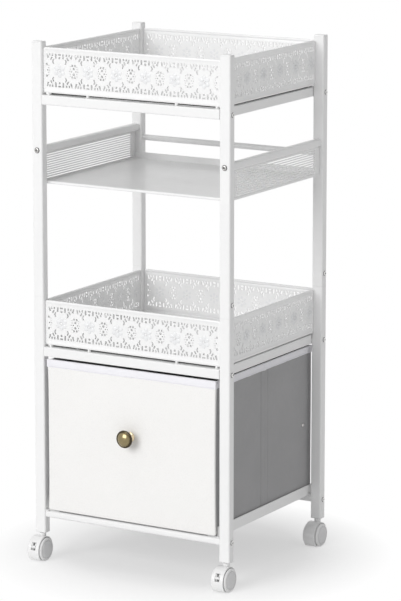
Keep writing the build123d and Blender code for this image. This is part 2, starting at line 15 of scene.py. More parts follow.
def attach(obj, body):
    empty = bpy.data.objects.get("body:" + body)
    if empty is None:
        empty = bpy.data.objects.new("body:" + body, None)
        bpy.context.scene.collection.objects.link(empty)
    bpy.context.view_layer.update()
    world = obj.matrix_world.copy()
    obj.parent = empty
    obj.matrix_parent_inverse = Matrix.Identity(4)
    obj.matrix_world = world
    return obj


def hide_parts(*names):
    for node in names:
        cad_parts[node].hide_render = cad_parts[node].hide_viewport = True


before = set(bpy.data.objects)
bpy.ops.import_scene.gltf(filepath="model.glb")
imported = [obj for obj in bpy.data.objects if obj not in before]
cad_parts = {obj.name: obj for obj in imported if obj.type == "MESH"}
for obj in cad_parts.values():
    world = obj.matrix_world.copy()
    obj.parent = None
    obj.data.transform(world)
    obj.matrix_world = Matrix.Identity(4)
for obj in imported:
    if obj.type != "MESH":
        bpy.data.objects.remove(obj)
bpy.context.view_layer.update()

logging.basicConfig(level=logging.INFO, format="%(message)s")
log = logging.getLogger("organizer")

Socket = bpy.types.NodeSocket
Value = Union[Socket, float, tuple]

FRONT_POST_Y = -147.15
REAR_POST_Y = 166.85
POST_X = 180.0
MIDDLE_Y = 9.85


class Facing(Enum):
    """Which way a wall's outer face looks, as its turn about the vertical in degrees."""

    FRONT = 0.0
    RIGHT = 90.0
    REAR = 180.0
    LEFT = 270.0

    def place(self, x: float, y: float, z: float) -> Matrix:
        """Puts a flat shape, drawn in X and Y and facing Z, upright and facing this way."""
        turn = Matrix.Rotation(math.radians(self.value), 4, "Z")
        return Matrix.Translation((x, y, z)) @ turn @ Matrix.Rotation(math.pi / 2, 4, "X")


SIDES = ((Facing.LEFT, -1), (Facing.RIGHT, 1))


class Level(Enum):
    """The two lace trays, each with the height of its lower edge in mm."""

    LOWER = 374.4
    UPPER = 800.8


class Corner(Enum):
    """The four posts, as the signs of their place in X and Y."""

    front_left = (-1, -1)
    front_right = (1, -1)
    rear_left = (-1, 1)
    rear_right = (1, 1)

    @property
    def x(self) -> float:
        """Returns the post's middle across the trolley."""
        return POST_X * self.value[0]

    @property
    def y(self) -> float:
        """Returns the post's middle from front to rear."""
        return FRONT_POST_Y if self.value[1] < 0 else REAR_POST_Y


class Weave(Enum):
    """The two axes that a cloth's threads follow, as indices of X, Y and Z."""

    SIDE = (1, 2)
    BACK = (0, 2)
    FLAT = (0, 1)


class Wiring:
    """A node tree being wired, with one short call for each kind of join."""

    def __init__(self, tree: bpy.types.NodeTree) -> None:
        """Starts on a node tree.

        Args:
            tree: The material's or group's tree.
        """
        self.tree = tree

    def node(self, kind: str, **settings: object) -> bpy.types.Node:
        """Adds a node.

        Args:
            kind: The node's type name.
            settings: Properties set on it.

        Returns:
            The node.
        """
        made = self.tree.nodes.new(kind)
        for key, value in settings.items():
            setattr(made, key, value)
        return made

    def feed(self, node: bpy.types.Node, name: Union[str, int], value: Value) -> None:
        """Joins a socket to an input, or sets a plain value; a colour of three parts gets full alpha."""
        socket = node.inputs[name]
        if isinstance(value, Socket):
            self.tree.links.new(value, socket)
        elif socket.type == "RGBA" and len(value) == 3:
            socket.default_value = (*value, 1.0)
        else:
            socket.default_value = value

    def math(self, kind: str, first: Value, second: Value = 0.0, third: Value = 0.0,
             clamp: bool = False) -> Socket:
        """Adds a Math node and returns its result; only some kinds read the third value."""
        made = self.node("ShaderNodeMath", operation=kind, use_clamp=clamp)
        for index, value in enumerate((first, second, third)):
            self.feed(made, index, value)
        return made.outputs[0]

    def mix(self, share: Value, first: Value, second: Value) -> Socket:
        """Adds a colour Mix node and returns its result."""
        made = self.node("ShaderNodeMix", data_type="RGBA")
        self.feed(made, 0, share)
        self.feed(made, 6, first)
        self.feed(made, 7, second)
        return made.outputs[2]

    def spread(self, value: Value, low: float, high: float, to_low: float, to_high: float) -> Socket:
        """Maps a range of values on another one, clamped, and returns the result."""
        made = self.node("ShaderNodeMapRange")
        for index, part in enumerate((value, low, high, to_low, to_high)):
            self.feed(made, index, part)
        return made.outputs[0]

    def noise(self, vector: Socket, scale: Value, detail: float = 2.0) -> Socket:
        """Adds a Noise texture and returns its value."""
        made = self.node("ShaderNodeTexNoise")
        self.feed(made, "Vector", vector)
        self.feed(made, "Scale", scale)
        self.feed(made, "Detail", detail)
        return made.outputs["Fac"]

    def place(self) -> Socket:
        """Returns the object's own coordinates, which are metres in the shared frame."""
        return self.node("ShaderNodeTexCoord").outputs["Object"]

    def axes(self, vector: Socket) -> bpy.types.bpy_prop_collection:
        """Splits a vector and returns its parts X, Y and Z."""
        split = self.node("ShaderNodeSeparateXYZ")
        self.feed(split, 0, vector)
        return split.outputs

    def group(self, tree: bpy.types.NodeTree, **inputs: Value) -> bpy.types.Node:
        """Places a shader group and feeds it.

        Args:
            tree: The group.
            inputs: Values for its inputs, by name.

        Returns:
            The group's node.
        """
        made = self.node("ShaderNodeGroup", node_tree=tree)
        for name, value in inputs.items():
            self.feed(made, name, value)
        return made


def new_group(name: str, inputs: Sequence[tuple[str, str, float]], outputs: Sequence[tuple[str, str]]
              ) -> tuple[Wiring, bpy.types.Node, bpy.types.Node]:
    """Starts a shader group.

    Args:
        name: The group's name.
        inputs: Name, kind and usual value of each input; vectors have no value of use.
        outputs: Name and kind of each output.

    Returns:
        The group's wiring, and its input and output nodes.
    """
    tree = bpy.data.node_groups.new(name, "ShaderNodeTree")
    for label, kind, usual in inputs:
        socket = tree.interface.new_socket(label, in_out="INPUT", socket_type=f"NodeSocket{kind}")
        if kind == "Float":
            socket.default_value = usual
    for label, kind in outputs:
        tree.interface.new_socket(label, in_out="OUTPUT", socket_type=f"NodeSocket{kind}")
    return Wiring(tree), tree.nodes.new("NodeGroupInput"), tree.nodes.new("NodeGroupOutput")


class SharedEffects:
    """The shader groups that more than one finish uses."""

    def __init__(self) -> None:
        """Builds each group once."""
        self.edges = self.soft_edges()
        self.mottle = self.mottled_colour()
        self.threads = self.woven_threads()
        self.dust = self.settled_dust()

    @staticmethod
    def soft_edges() -> bpy.types.NodeTree:
        """Returns a group that rounds sharp edges in the light and finds them for wear."""
        wire, given, out = new_group("soft_edges", [("Radius", "Float", 0.001)],
                                     [("Normal", "Vector"), ("Mask", "Float")])
        rounded = wire.node("ShaderNodeBevel", samples=4)
        wire.feed(rounded, "Radius", given.outputs["Radius"])
        true_normal = wire.node("ShaderNodeNewGeometry").outputs["True Normal"]
        dot = wire.node("ShaderNodeVectorMath", operation="DOT_PRODUCT")
        wire.feed(dot, 0, rounded.outputs[0])
        wire.feed(dot, 1, true_normal)
        wire.feed(out, "Normal", rounded.outputs[0])
        wire.feed(out, "Mask", wire.spread(dot.outputs["Value"], 0.99, 0.80, 0.0, 1.0))
        return wire.tree

    @staticmethod
    def mottled_colour() -> bpy.types.NodeTree:
        """Returns a group that varies a colour a little, in wide and in fine patches."""
        wire, given, out = new_group(
            "mottled_colour", [("Vector", "Vector", 0), ("Colour", "Color", 0), ("Amount", "Float", 0.03),
                               ("Scale", "Float", 30.0)], [("Colour", "Color"), ("Mask", "Float")])
        wide = wire.noise(given.outputs["Vector"], given.outputs["Scale"], 3.0)
        fine = wire.noise(given.outputs["Vector"], wire.math("MULTIPLY", given.outputs["Scale"], 9.0), 2.0)
        mask = wire.math("ADD", wire.math("MULTIPLY", wide, 0.7), wire.math("MULTIPLY", fine, 0.3))
        share = wire.math("MULTIPLY", wire.spread(mask, 0.35, 0.65, 0.0, 1.0), given.outputs["Amount"])
        wire.feed(out, "Colour", wire.mix(share, given.outputs["Colour"], (0.0, 0.0, 0.0, 1.0)))
        wire.feed(out, "Mask", mask)
        return wire.tree

    @staticmethod
    def woven_threads() -> bpy.types.NodeTree:
        """Returns a group for plain weave, from a position across and along the threads."""
        wire, given, out = new_group("woven_threads", [("Across", "Float", 0.0), ("Along", "Float", 0.0)],
                                     [("Height", "Float"), ("Mask", "Float")])

        def thread(position: Socket) -> Socket:
            """Returns the round of one thread."""
            return wire.math("ABSOLUTE", wire.math("SINE", wire.math("MULTIPLY", position, math.pi)))

        across, along = given.outputs["Across"], given.outputs["Along"]
        warp, weft = thread(across), thread(along)
        cell = wire.math("ADD", wire.math("FLOOR", across), wire.math("FLOOR", along))
        over = wire.math("PINGPONG", cell, 1.0)
        rise = wire.math("MULTIPLY", warp, wire.math("MULTIPLY_ADD", weft, 0.45, 0.55))
        fall = wire.math("MULTIPLY", weft, wire.math("MULTIPLY_ADD", warp, 0.45, 0.55))
        height = wire.node("ShaderNodeMix")
        for index, value in ((0, over), (2, rise), (3, fall)):
            wire.feed(height, index, value)
        wire.feed(out, "Height", height.outputs[0])
        wire.feed(out, "Mask", wire.spread(height.outputs[0], 0.1, 0.7, 1.0, 0.0))
        return wire.tree

    @staticmethod
    def settled_dust() -> bpy.types.NodeTree:
        """Returns a group that finds faces which look up, broken by noise, where dust settles."""
        wire, given, out = new_group("settled_dust", [("Vector", "Vector", 0)], [("Mask", "Float")])
        normal = wire.axes(wire.node("ShaderNodeNewGeometry").outputs["True Normal"])
        patch = wire.spread(wire.noise(given.outputs["Vector"], 60.0, 4.0), 0.4, 0.7, 0.2, 1.0)
        facing = wire.spread(normal["Z"], 0.5, 1.0, 0.0, 1.0)
        wire.feed(out, "Mask", wire.math("MULTIPLY", facing, patch))
        return wire.tree


class Finish:
    """One surface finish: a node material whose parts the subclasses wire."""

    def __init__(self, name: str) -> None:
        """Starts a material of this name with a lone Principled shader."""
        self.material = bpy.data.materials.new(name)
        self.material.use_nodes = True
        self.wire = Wiring(self.material.node_tree)
        self.shader = self.material.node_tree.nodes["Principled BSDF"]

    def bump(self, height: Value, distance: float, strength: float = 1.0, base: Value = None) -> Socket:
        """Adds a Bump node over a base normal and returns its normal."""
        made = self.wire.node("ShaderNodeBump")
        self.wire.feed(made, "Height", height)
        self.wire.feed(made, "Distance", distance)
        self.wire.feed(made, "Strength", strength)
        if base is not None:
            self.wire.feed(made, "Normal", base)
        return made.outputs[0]

    def feed(self, **inputs: Value) -> None:
        """Feeds the shader's inputs; an underscore in a name stands for a space."""
        for name, value in inputs.items():
            self.wire.feed(self.shader, name.replace("_", " "), value)


@dataclass(frozen=True)
class CoatedMetal:
    """Powder coat or moulded plastic: a smooth skin with a faint ripple, thinner at the edges."""

    name: str
    colour: tuple[float, float, float]
    edge_colour: tuple[float, float, float]
    roughness: float = 0.36
    ripple: float = 0.00003
    ripple_scale: float = 700.0
    edge_radius: float = 0.0009
    coat: float = 0.0
    dust_colour: tuple[float, float, float] = (0.70, 0.69, 0.67)

    def build(self, effects: SharedEffects) -> bpy.types.Material:
        """Returns the finish's material.

        Args:
            effects: The shared shader groups.
        """
        finish = Finish(self.name)
        wire, spot = finish.wire, finish.wire.place()
        edges = wire.group(effects.edges, Radius=self.edge_radius)
        varied = wire.group(effects.mottle, Vector=spot, Colour=self.colour, Amount=0.022, Scale=14.0)
        patches, dust = varied.outputs["Mask"], wire.group(effects.dust, Vector=spot).outputs["Mask"]
        worn = wire.math("MULTIPLY", edges.outputs["Mask"], wire.spread(patches, 0.4, 0.6, 0.15, 0.6))
        colour = wire.mix(worn, varied.outputs["Colour"], self.edge_colour)
        colour = wire.mix(wire.math("MULTIPLY", dust, 0.05), colour, self.dust_colour)
        rough = wire.spread(patches, 0.3, 0.7, self.roughness - 0.05, self.roughness + 0.05)
        rough = wire.math("ADD", rough, wire.math("MULTIPLY", dust, 0.08))
        height = wire.noise(spot, self.ripple_scale, 2.0)
        finish.feed(Base_Color=colour, Roughness=rough, Specular_IOR_Level=0.5, Coat_Weight=self.coat,
                    Coat_Roughness=0.12,
                    Normal=finish.bump(height, self.ripple, 0.6, edges.outputs["Normal"]))
        return finish.material


@dataclass(frozen=True)
class BareMetal:
    """Plated or aged metal: polished on its high spots, darker where it is aged."""

    name: str
    colour: tuple[float, float, float]
    aged_colour: tuple[float, float, float]
    roughness: float
    aged_share: float
    brush_scale: float = 900.0

    def build(self, effects: SharedEffects) -> bpy.types.Material:
        """Returns the finish's material.

        Args:
            effects: The shared shader groups.
        """
        finish = Finish(self.name)
        wire, spot = finish.wire, finish.wire.place()
        edges = wire.group(effects.edges, Radius=0.0005)
        aged = wire.spread(wire.noise(spot, 140.0, 4.0), 0.62 - 0.3 * self.aged_share,
                           0.72 - 0.2 * self.aged_share, 0.0, self.aged_share)
        rubbed = wire.math("MULTIPLY", edges.outputs["Mask"], self.aged_share)
        aged = wire.math("SUBTRACT", aged, rubbed, clamp=True)
        fine = wire.noise(spot, self.brush_scale, 2.0)
        rough = wire.spread(fine, 0.3, 0.7, self.roughness, self.roughness + 0.1)
        finish.feed(Base_Color=wire.mix(aged, self.colour, self.aged_colour), Metallic=1.0,
                    Roughness=wire.math("ADD", rough, wire.math("MULTIPLY", aged, 0.15)),
                    Normal=finish.bump(fine, 0.00002, 0.5, edges.outputs["Normal"]))
        return finish.material


@dataclass(frozen=True)
class AgedBrass:
    """The knob's brass: a smooth olive dome, a dark rim that is a painted reflection of a dark surround, and
    a pale neck and foot.
    """

    name: str = "aged_brass"
    dome_colour: tuple[float, float, float] = (0.28, 0.225, 0.115)
    painted_rim_reflection_colour: tuple[float, float, float] = (0.045, 0.032, 0.012)
    neck_colour: tuple[float, float, float] = (0.76, 0.63, 0.42)
    axis_z: float = 0.237
    painted_rim_reflection_band: tuple[float, float] = (0.0108, 0.0142)
    neck_start_y: float = -0.1672
    roughness: float = 0.20

    def build(self, effects: SharedEffects) -> bpy.types.Material:
        """Returns the finish's material.

        Args:
            effects: The shared shader groups.
        """
        finish = Finish(self.name)
        wire, spot = finish.wire, finish.wire.place()
        split = wire.axes(spot)
        across = wire.math("POWER", split["X"], 2.0)
        upward = wire.math("POWER", wire.math("SUBTRACT", split["Z"], self.axis_z), 2.0)
        radius = wire.math("SQRT", wire.math("ADD", across, upward))
        patches = wire.noise(spot, 260.0, 3.0)
        ragged = wire.math("ADD", radius, wire.math("MULTIPLY", patches, 0.0015))
        # Towards the dome's rim the colour goes dark: a painted dark reflection, with its edge made ragged by
        # noise.
        rim = wire.spread(ragged, *self.painted_rim_reflection_band, 0.0, 1.0)
        neck = wire.spread(split["Y"], self.neck_start_y - 0.0012, self.neck_start_y, 0.0, 1.0)
        colour = wire.mix(rim, self.dome_colour, self.painted_rim_reflection_colour)
        colour = wire.mix(neck, colour, self.neck_colour)
        varied = wire.group(effects.mottle, Vector=spot, Colour=colour, Amount=0.12, Scale=180.0)
        edges = wire.group(effects.edges, Radius=0.0004)
        fine = wire.noise(spot, 1500.0, 2.0)
        finish.feed(Base_Color=varied.outputs["Colour"], Metallic=1.0, Coat_Weight=0.5, Coat_Roughness=0.08,
                    Roughness=wire.spread(patches, 0.3, 0.7, self.roughness - 0.03, self.roughness + 0.06),
                    Normal=finish.bump(fine, 0.00001, 0.5, edges.outputs["Normal"]))
        return finish.material


@dataclass(frozen=True)
class Leatherette:
    """The drawer front's cover: pale, with a fine pebbled grain and a soft gloss."""

    name: str = "leatherette_cover"
    colour: tuple[float, float, float] = (0.925, 0.918, 0.905)
    crease_colour: tuple[float, float, float] = (0.84, 0.83, 0.815)
    grain: float = 900.0
    roughness: float = 0.46

    def build(self, effects: SharedEffects) -> bpy.types.Material:
        """Returns the finish's material.

        Args:
            effects: The shared shader groups.
        """
        finish = Finish(self.name)
        wire, spot = finish.wire, finish.wire.place()
        pebbles = wire.node("ShaderNodeTexVoronoi", feature="SMOOTH_F1")
        wire.feed(pebbles, "Vector", spot)
        wire.feed(pebbles, "Scale", self.grain)
        varied = wire.group(effects.mottle, Vector=spot, Colour=self.colour, Amount=0.02, Scale=9.0)
        creases = wire.spread(pebbles.outputs["Distance"], 0.35, 0.75, 0.0, 0.6)
        waves = wire.noise(spot, 22.0, 2.0)
        soft = finish.bump(waves, 0.0012, 0.5)
        grain = wire.math("SUBTRACT", 1.0, pebbles.outputs["Distance"])
        finish.feed(Base_Color=wire.mix(creases, varied.outputs["Colour"], self.crease_colour),
                    Roughness=wire.spread(waves, 0.3, 0.7, self.roughness - 0.05, self.roughness + 0.07),
                    Specular_IOR_Level=0.45,
                    Normal=finish.bump(grain, 0.00012, 0.5, soft))
        return finish.material


@dataclass(frozen=True)
class Cloth:
    """Woven cloth over board, or sewn tape: threads, uneven dye and a soft sheen."""

    name: str
    colour: tuple[float, float, float]
    gap_colour: tuple[float, float, float]
    weave: Weave
    thread: float = 0.0009
    sheen: float = 0.15
    mottle: float = 0.08

    def build(self, effects: SharedEffects) -> bpy.types.Material:
        """Returns the finish's material.

        Args:
            effects: The shared shader groups.
        """
        finish = Finish(self.name)
        wire, spot = finish.wire, finish.wire.place()
        split = wire.axes(spot)
        across, along = (wire.math("DIVIDE", split[axis], self.thread) for axis in self.weave.value)
        if self.weave is Weave.SIDE and self.sheen > 0.3:
            across = wire.math("DIVIDE", wire.math("ADD", split[0], split[1]), self.thread)
        cloth = wire.group(effects.threads, Across=across, Along=along)
        varied = wire.group(effects.mottle, Vector=spot, Colour=self.colour, Amount=self.mottle,
                            Scale=16.0)
        slubs = wire.noise(spot, 700.0, 2.0)
        gaps = wire.math("MULTIPLY", cloth.outputs["Mask"], wire.spread(slubs, 0.3, 0.7, 0.35, 0.9))
        height = wire.math("ADD", cloth.outputs["Height"], wire.math("MULTIPLY", slubs, 0.5))
        finish.feed(Base_Color=wire.mix(gaps, varied.outputs["Colour"], self.gap_colour),
                    Roughness=wire.spread(slubs, 0.3, 0.7, 0.78, 0.94), Specular_IOR_Level=0.3,
                    Sheen_Weight=self.sheen, Sheen_Roughness=0.5, Normal=finish.bump(height, 0.00022, 0.7))
        return finish.material


def even(value: float) -> tuple[float, float, float]:
    """Returns a neutral colour."""
    return value, value, value


class Finishes:
    """All finishes of the trolley, each built once."""

    def __init__(self) -> None:
        """Builds the materials on the shared effects."""
        effects = SharedEffects()
        white, edge = even(0.905), even(0.80)
        self.powder = CoatedMetal("white_powder_coat", white, edge).build(effects)
        self.pressed = CoatedMetal("white_coat_on_pressed_sheet", white, edge, edge_radius=0.0004,
                                   coat=0.4).build(effects)
        # Greyer coat for the blossoms' petals and ring: painted shade of their relief.
        self.blossom = CoatedMetal("blossom_coat_with_painted_shade", (0.85, 0.855, 0.865), (0.82, 0.825, 0.835),
                                   edge_radius=0.0004, coat=0.4).build(effects)
        # Near-black coat for the tray walls' hems: painted shade that stands for the deep gap between each
        # tray and its rail.
        self.fold = CoatedMetal("shaded_tray_fold", even(0.07), even(0.09), 0.6,
                                edge_radius=0.0003).build(effects)
        self.plastic = CoatedMetal("white_moulded_plastic", even(0.895), even(0.83), 0.30, 0.00002, 400.0,
                                   coat=0.15).build(effects)
        self.wheel = CoatedMetal("off_white_wheel_plastic", even(0.86), even(0.72), 0.42,
                                 ripple_scale=500.0, edge_radius=0.0005).build(effects)
        self.disc = CoatedMetal("grey_hub_disc", (0.75, 0.75, 0.755), even(0.60), 0.40,
                                ripple_scale=500.0, edge_radius=0.0005).build(effects)
        # Dark metal for the shelf bolts' sockets and rim rings: painted shade.
        self.socket = BareMetal("shaded_socket", even(0.20), even(0.07), 0.45, 0.5).build(effects)
        self.nickel = BareMetal("bright_nickel", (0.52, 0.51, 0.50), (0.28, 0.27, 0.26), 0.20,
                                0.4).build(effects)
        self.pale_nickel = BareMetal("pale_nickel", (0.74, 0.74, 0.73), (0.60, 0.59, 0.58), 0.32,
                                     0.3).build(effects)
        # Dark nickel for the side bolts' sockets and rim rings: painted shade.
        self.nickel_with_painted_shade = BareMetal("nickel_with_painted_shade", even(0.27), even(0.20), 0.40, 0.3).build(effects)
        self.steel = BareMetal("zinc_plated_steel", (0.66, 0.66, 0.67), even(0.42), 0.30,
                               0.4).build(effects)
        self.brass = AgedBrass().build(effects)
        self.cover = Leatherette().build(effects)
        grey, gap = (0.45, 0.448, 0.453), (0.29, 0.29, 0.30)
        self.cloth_side = Cloth("grey_cloth_side", grey, gap, Weave.SIDE).build(effects)
        self.cloth_back = Cloth("grey_cloth_back", grey, gap, Weave.BACK).build(effects)
        self.cloth_base = Cloth("grey_cloth_base", grey, gap, Weave.FLAT).build(effects)
        self.tape = Cloth("lavender_tape", (0.96, 0.952, 0.99), (0.92, 0.908, 0.96), Weave.SIDE, 0.0012, 1.0,
                          0.03).build(effects)
        self.thread = Cloth("white_thread", (0.88, 0.87, 0.92), (0.70, 0.69, 0.75), Weave.BACK, 0.0004, 0.2,
                            0.03).build(effects)
        self.grey_thread = Cloth("grey_thread", (0.30, 0.295, 0.305), (0.2, 0.2, 0.21), Weave.SIDE,
                                 0.0004, 0.2, 0.03).build(effects)

    def for_node(self, node: str) -> bpy.types.Material:
        """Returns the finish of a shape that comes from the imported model.

        Args:
            node: The node's name.
        """
        by_ending = {"_screw": self.nickel, "_axle": self.steel, "_stems": self.steel,
                     "_caps": self.plastic, "_sockets": self.plastic, "_hood": self.plastic,
                     "_base": self.cloth_base, "_floor": self.pressed, "_spacers": self.pressed}
        return next((made for ending, made in by_ending.items() if node.endswith(ending)), self.powder)

    def dress_frame(self) -> None:
        """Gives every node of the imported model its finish."""
        for name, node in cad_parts.items():
            node.data.materials.clear()
            node.data.materials.append(self.for_node(name))


def add_object(name: str, data: bpy.types.ID) -> bpy.types.Object:
    """Puts a mesh, lamp or camera in the scene and returns its object."""
    made = bpy.data.objects.new(name, data)
    bpy.context.scene.collection.objects.link(made)
    return made


def pour(source: bmesh.types.BMesh, target: bmesh.types.BMesh) -> None:
    """Adds one shape to another, and uses up the first."""
    carrier = bpy.data.meshes.new("carrier")
    source.to_mesh(carrier)
    source.free()
    target.from_mesh(carrier)
    bpy.data.meshes.remove(carrier)


def box(size: Sequence[float]) -> bmesh.types.BMesh:
    """Returns a plain box of this size about the origin."""
    part = bmesh.new()
    bmesh.ops.create_cube(part, size=1.0)
    bmesh.ops.scale(part, vec=size, verts=part.verts)
    return part


def unit_square(part: bmesh.types.BMesh, filled: bool) -> list[bmesh.types.BMVert]:
    """Adds a flat square, 1 wide about the origin, and returns its corners."""
    made = bmesh.ops.create_circle(part, cap_ends=filled, segments=4, radius=math.sqrt(0.5))["verts"]
    bmesh.ops.rotate(part, cent=(0, 0, 0), matrix=Matrix.Rotation(math.pi / 4, 3, "Z"), verts=made)
    return made


def round_off(part: bmesh.types.BMesh, geometry: Sequence, radius: float, segments: int,
              affect: str = "EDGES") -> None:
    """Rounds edges or corners of a shape.

    Args:
        part: The shape.
        geometry: Its edges or corners to round.
        radius: The radius.
        segments: The steps of each rounding.
        affect: EDGES or VERTICES.
    """
    bmesh.ops.bevel(part, geom=geometry, offset=radius, segments=segments, profile=0.5, affect=affect,
                    material=-1)


def thicken(part: bmesh.types.BMesh) -> list[bmesh.types.BMVert]:
    """Extrudes all faces of a sheet and returns the corners of its new side."""
    grown = bmesh.ops.extrude_face_region(part, geom=part.faces[:])
    return [item for item in grown["geom"] if isinstance(item, bmesh.types.BMVert)]


class Form:
    """A piece in the making: bmesh shapes in millimetres, gathered into one mesh in metres."""

    def __init__(self) -> None:
        """Starts an empty form."""
        self.bm = bmesh.new()

    def absorb(self, part: bmesh.types.BMesh, place: Matrix = Matrix(), material: int = 0) -> None:
        """Takes a closed shape into the form.

        Args:
            part: The shape, which is used up.
            place: Where it goes.
            material: The number of its material slot, or less than 0 to keep each face's own.
        """
        part.transform(place)
        bmesh.ops.remove_doubles(part, verts=part.verts, dist=0.0005)
        bmesh.ops.recalc_face_normals(part, faces=part.faces)
        if material >= 0:
            for face in part.faces:
                face.material_index = material
        pour(part, self.bm)

    def block(self, low: Sequence[float], high: Sequence[float], edge: float = 0.0, segments: int = 2,
              material: int = 0, place: Matrix = Matrix()) -> None:
        """Adds a box with rounded edges.

        Args:
            low: Its lowest corner.
            high: Its highest corner.
            edge: The radius of its edges.
            segments: The steps of each rounding.
            material: The number of its material slot.
            place: Where it goes.
        """
        part = box(Vector(high) - Vector(low))
        if edge:
            round_off(part, part.edges[:], edge, segments)
        self.absorb(part, place @ Matrix.Translation((Vector(low) + Vector(high)) / 2), material)

    def lathe(self, profile: Sequence[tuple[float, float]], place: Matrix, steps: int = 32,
              bands: Sequence[tuple[float, float, int]] = ()) -> None:
        """Adds a turned shape.

        Args:
            profile: Radius and height of each point, from the axis back to the axis.
            place: Where it goes; the axis is its Z.
            steps: The steps round it.
            bands: Lowest and highest radius and material slot of faces that look along the axis.
        """
        part = bmesh.new()
        points = [part.verts.new((radius, 0.0, height)) for radius, height in profile]
        edges = [part.edges.new(pair) for pair in zip(points, points[1:])]
        bmesh.ops.spin(part, geom=points + edges, cent=(0, 0, 0), axis=(0, 0, 1), angle=2 * math.pi,
                       steps=steps, use_merge=True)
        for face in part.faces:
            middle = face.calc_center_median()
            radius = math.hypot(middle.x, middle.y)
            for low, high, slot in bands:
                if low <= radius <= high:
                    face.material_index = slot
        self.absorb(part, place, -1)

    def dome(self, place: Matrix, segments: int = 10, rings: int = 6, material: int = 0) -> None:
        """Adds a ball, which the place may flatten into a dome."""
        part = bmesh.new()
        bmesh.ops.create_uvsphere(part, u_segments=segments, v_segments=rings, radius=1.0)
        self.absorb(part, place, material)

    def stitch(self, start: Vector, end: Vector, radius: float, outward: Vector, material: int = 1) -> None:
        """Adds one stitch: a six-sided thread with sunken ends.

        Args:
            start: Where it comes out.
            end: Where it goes in.
            radius: Its thickness.
            outward: The way it stands proud.
            material: The number of its material slot.
        """
        part = bmesh.new()
        bmesh.ops.create_cone(part, cap_ends=True, segments=6, radius1=radius, radius2=radius,
                              depth=(end - start).length)
        turn = (end - start).to_track_quat("Z", "Y").to_matrix().to_4x4()
        self.absorb(part, Matrix.Translation((start + end) / 2 + outward * radius * 0.3) @ turn, material)

    def seam(self, start: Sequence[float], end: Sequence[float], outward: Sequence[float], pitch: float = 3.2,
             radius: float = 0.32, material: int = 1) -> None:
        """Adds a row of stitches along a straight seam.

        Args:
            start: The seam's start.
            end: The seam's end.
            outward: The way the surface faces.
            pitch: The length of a stitch and its gap.
            radius: The thickness of the thread.
            material: The number of its material slot.
        """
        first, last = Vector(start), Vector(end)
        count = int((last - first).length / pitch)
        step = (last - first) / count
        for index in range(count):
            self.stitch(first + step * (index + 0.14), first + step * (index + 0.86), radius, Vector(outward),
                        material)

    def piece(self, name: str, body: str, slot: str, finishes: Sequence[bpy.types.Material],
              stands_for: Sequence[str] = (), sharp: float = 38.0) -> bpy.types.Object:
        """Makes the form a finished piece that rides on a body.

        Args:
            name: The piece's name.
            body: The body it rides on.
            slot: The name of its material slot; it is not used.
            finishes: Its materials, in the order of its slots.
            stands_for: The nodes it replaces.
            sharp: The angle in degrees past which an edge stays sharp.

        Returns:
            The piece.
        """
        self.bm.transform(Matrix.Scale(0.001, 4))
        mesh = bpy.data.meshes.new(name)
        self.bm.to_mesh(mesh)
        self.bm.free()
        mesh.polygons.foreach_set("use_smooth", [True] * len(mesh.polygons))
        mesh.set_sharp_from_angle(angle=math.radians(sharp))
        for finish in finishes:
            mesh.materials.append(finish)
        made = add_object(name, mesh)
        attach(made, body)
        if stands_for:
            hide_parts(*stands_for)
        log.info("%s: %d faces on %s", name, len(mesh.polygons), body)
        return made


class Openwork:
    """The outlines of the holes of a pressed sheet, drawn flat about the sheet's middle."""

    def __init__(self, reach: float) -> None:
        """Starts with no holes.

        Args:
            reach: How far from the middle a hole may go along the sheet.
        """
        self.bm = bmesh.new()
        self.reach = reach

    def keep(self, verts: list[bmesh.types.BMVert], place: Matrix) -> None:
        """Places the outline just made, or drops it where it runs past the sheet's pattern."""
        bmesh.ops.transform(self.bm, matrix=place, verts=verts)
        if max(abs(vert.co.x) for vert in verts) > self.reach:
            bmesh.ops.delete(self.bm, geom=verts, context="VERTS")

    def round(self, x: float, y: float, radius: float, sides: int = 8) -> None:
        """Adds a round hole."""
        made = bmesh.ops.create_circle(self.bm, cap_ends=False, segments=sides, radius=radius)
        self.keep(made["verts"], Matrix.Translation((x, y, 0)))

    def bar(self, x: float, y: float, width: float, height: float, lean: float = 0.0,
            flare: float = 1.0) -> None:
        """Adds a four-sided hole.

        Args:
            x: Its middle along the sheet.
            y: Its middle up the sheet.
            width: Its width.
            height: Its height.
            lean: Its turn in degrees, to the left.
            flare: The width of its lower edge over that of its upper edge.
        """
        made = unit_square(self.bm, False)
        for vert in made:
            vert.co.x *= flare if vert.co.y < 0 else 1.0
        size = Matrix.Diagonal((width, height, 1.0, 1.0))
        turn = Matrix.Rotation(math.radians(lean), 4, "Z")
        self.keep(made, Matrix.Translation((x, y, 0)) @ turn @ size)

    def slit(self, y: float, half_length: float, height: float) -> None:
        """Adds a long slit with round ends."""
        radius, on_axis = height / 2, 1e-4
        made = bmesh.ops.create_circle(self.bm, cap_ends=False, segments=10, radius=radius)["verts"]
        for vert in made:
            x = vert.co.x
            vert.co.x = x + math.copysign(half_length - radius, x) if abs(x) > on_axis else 0.0
        self.keep(made, Matrix.Translation((0, y, 0)))

    def chevron(self, x: float, y: float, width: float, height: float, stroke: float, side: int) -> None:
        """Adds an arrowhead hole.

        Args:
            x: Its middle along the sheet.
            y: Its middle up the sheet.
            width: Its width from the tip to the ends of its arms.
            height: Its height.
            stroke: The width of its arms along the sheet.
            side: 1 where it points along the sheet, and -1 where it points back.
        """
        inner = width - stroke
        outline = [(-width / 2, height / 2), (-width / 2 + stroke, height / 2), (width / 2, 0.0),
                   (-width / 2 + stroke, -height / 2), (-width / 2, -height / 2), (-width / 2 + inner, 0.0)]
        verts = [self.bm.verts.new((side * px, py, 0.0)) for px, py in outline]
        for pair in zip(verts, verts[1:] + verts[:1]):
            self.bm.edges.new(pair)
        self.keep(verts, Matrix.Translation((x, y, 0)))


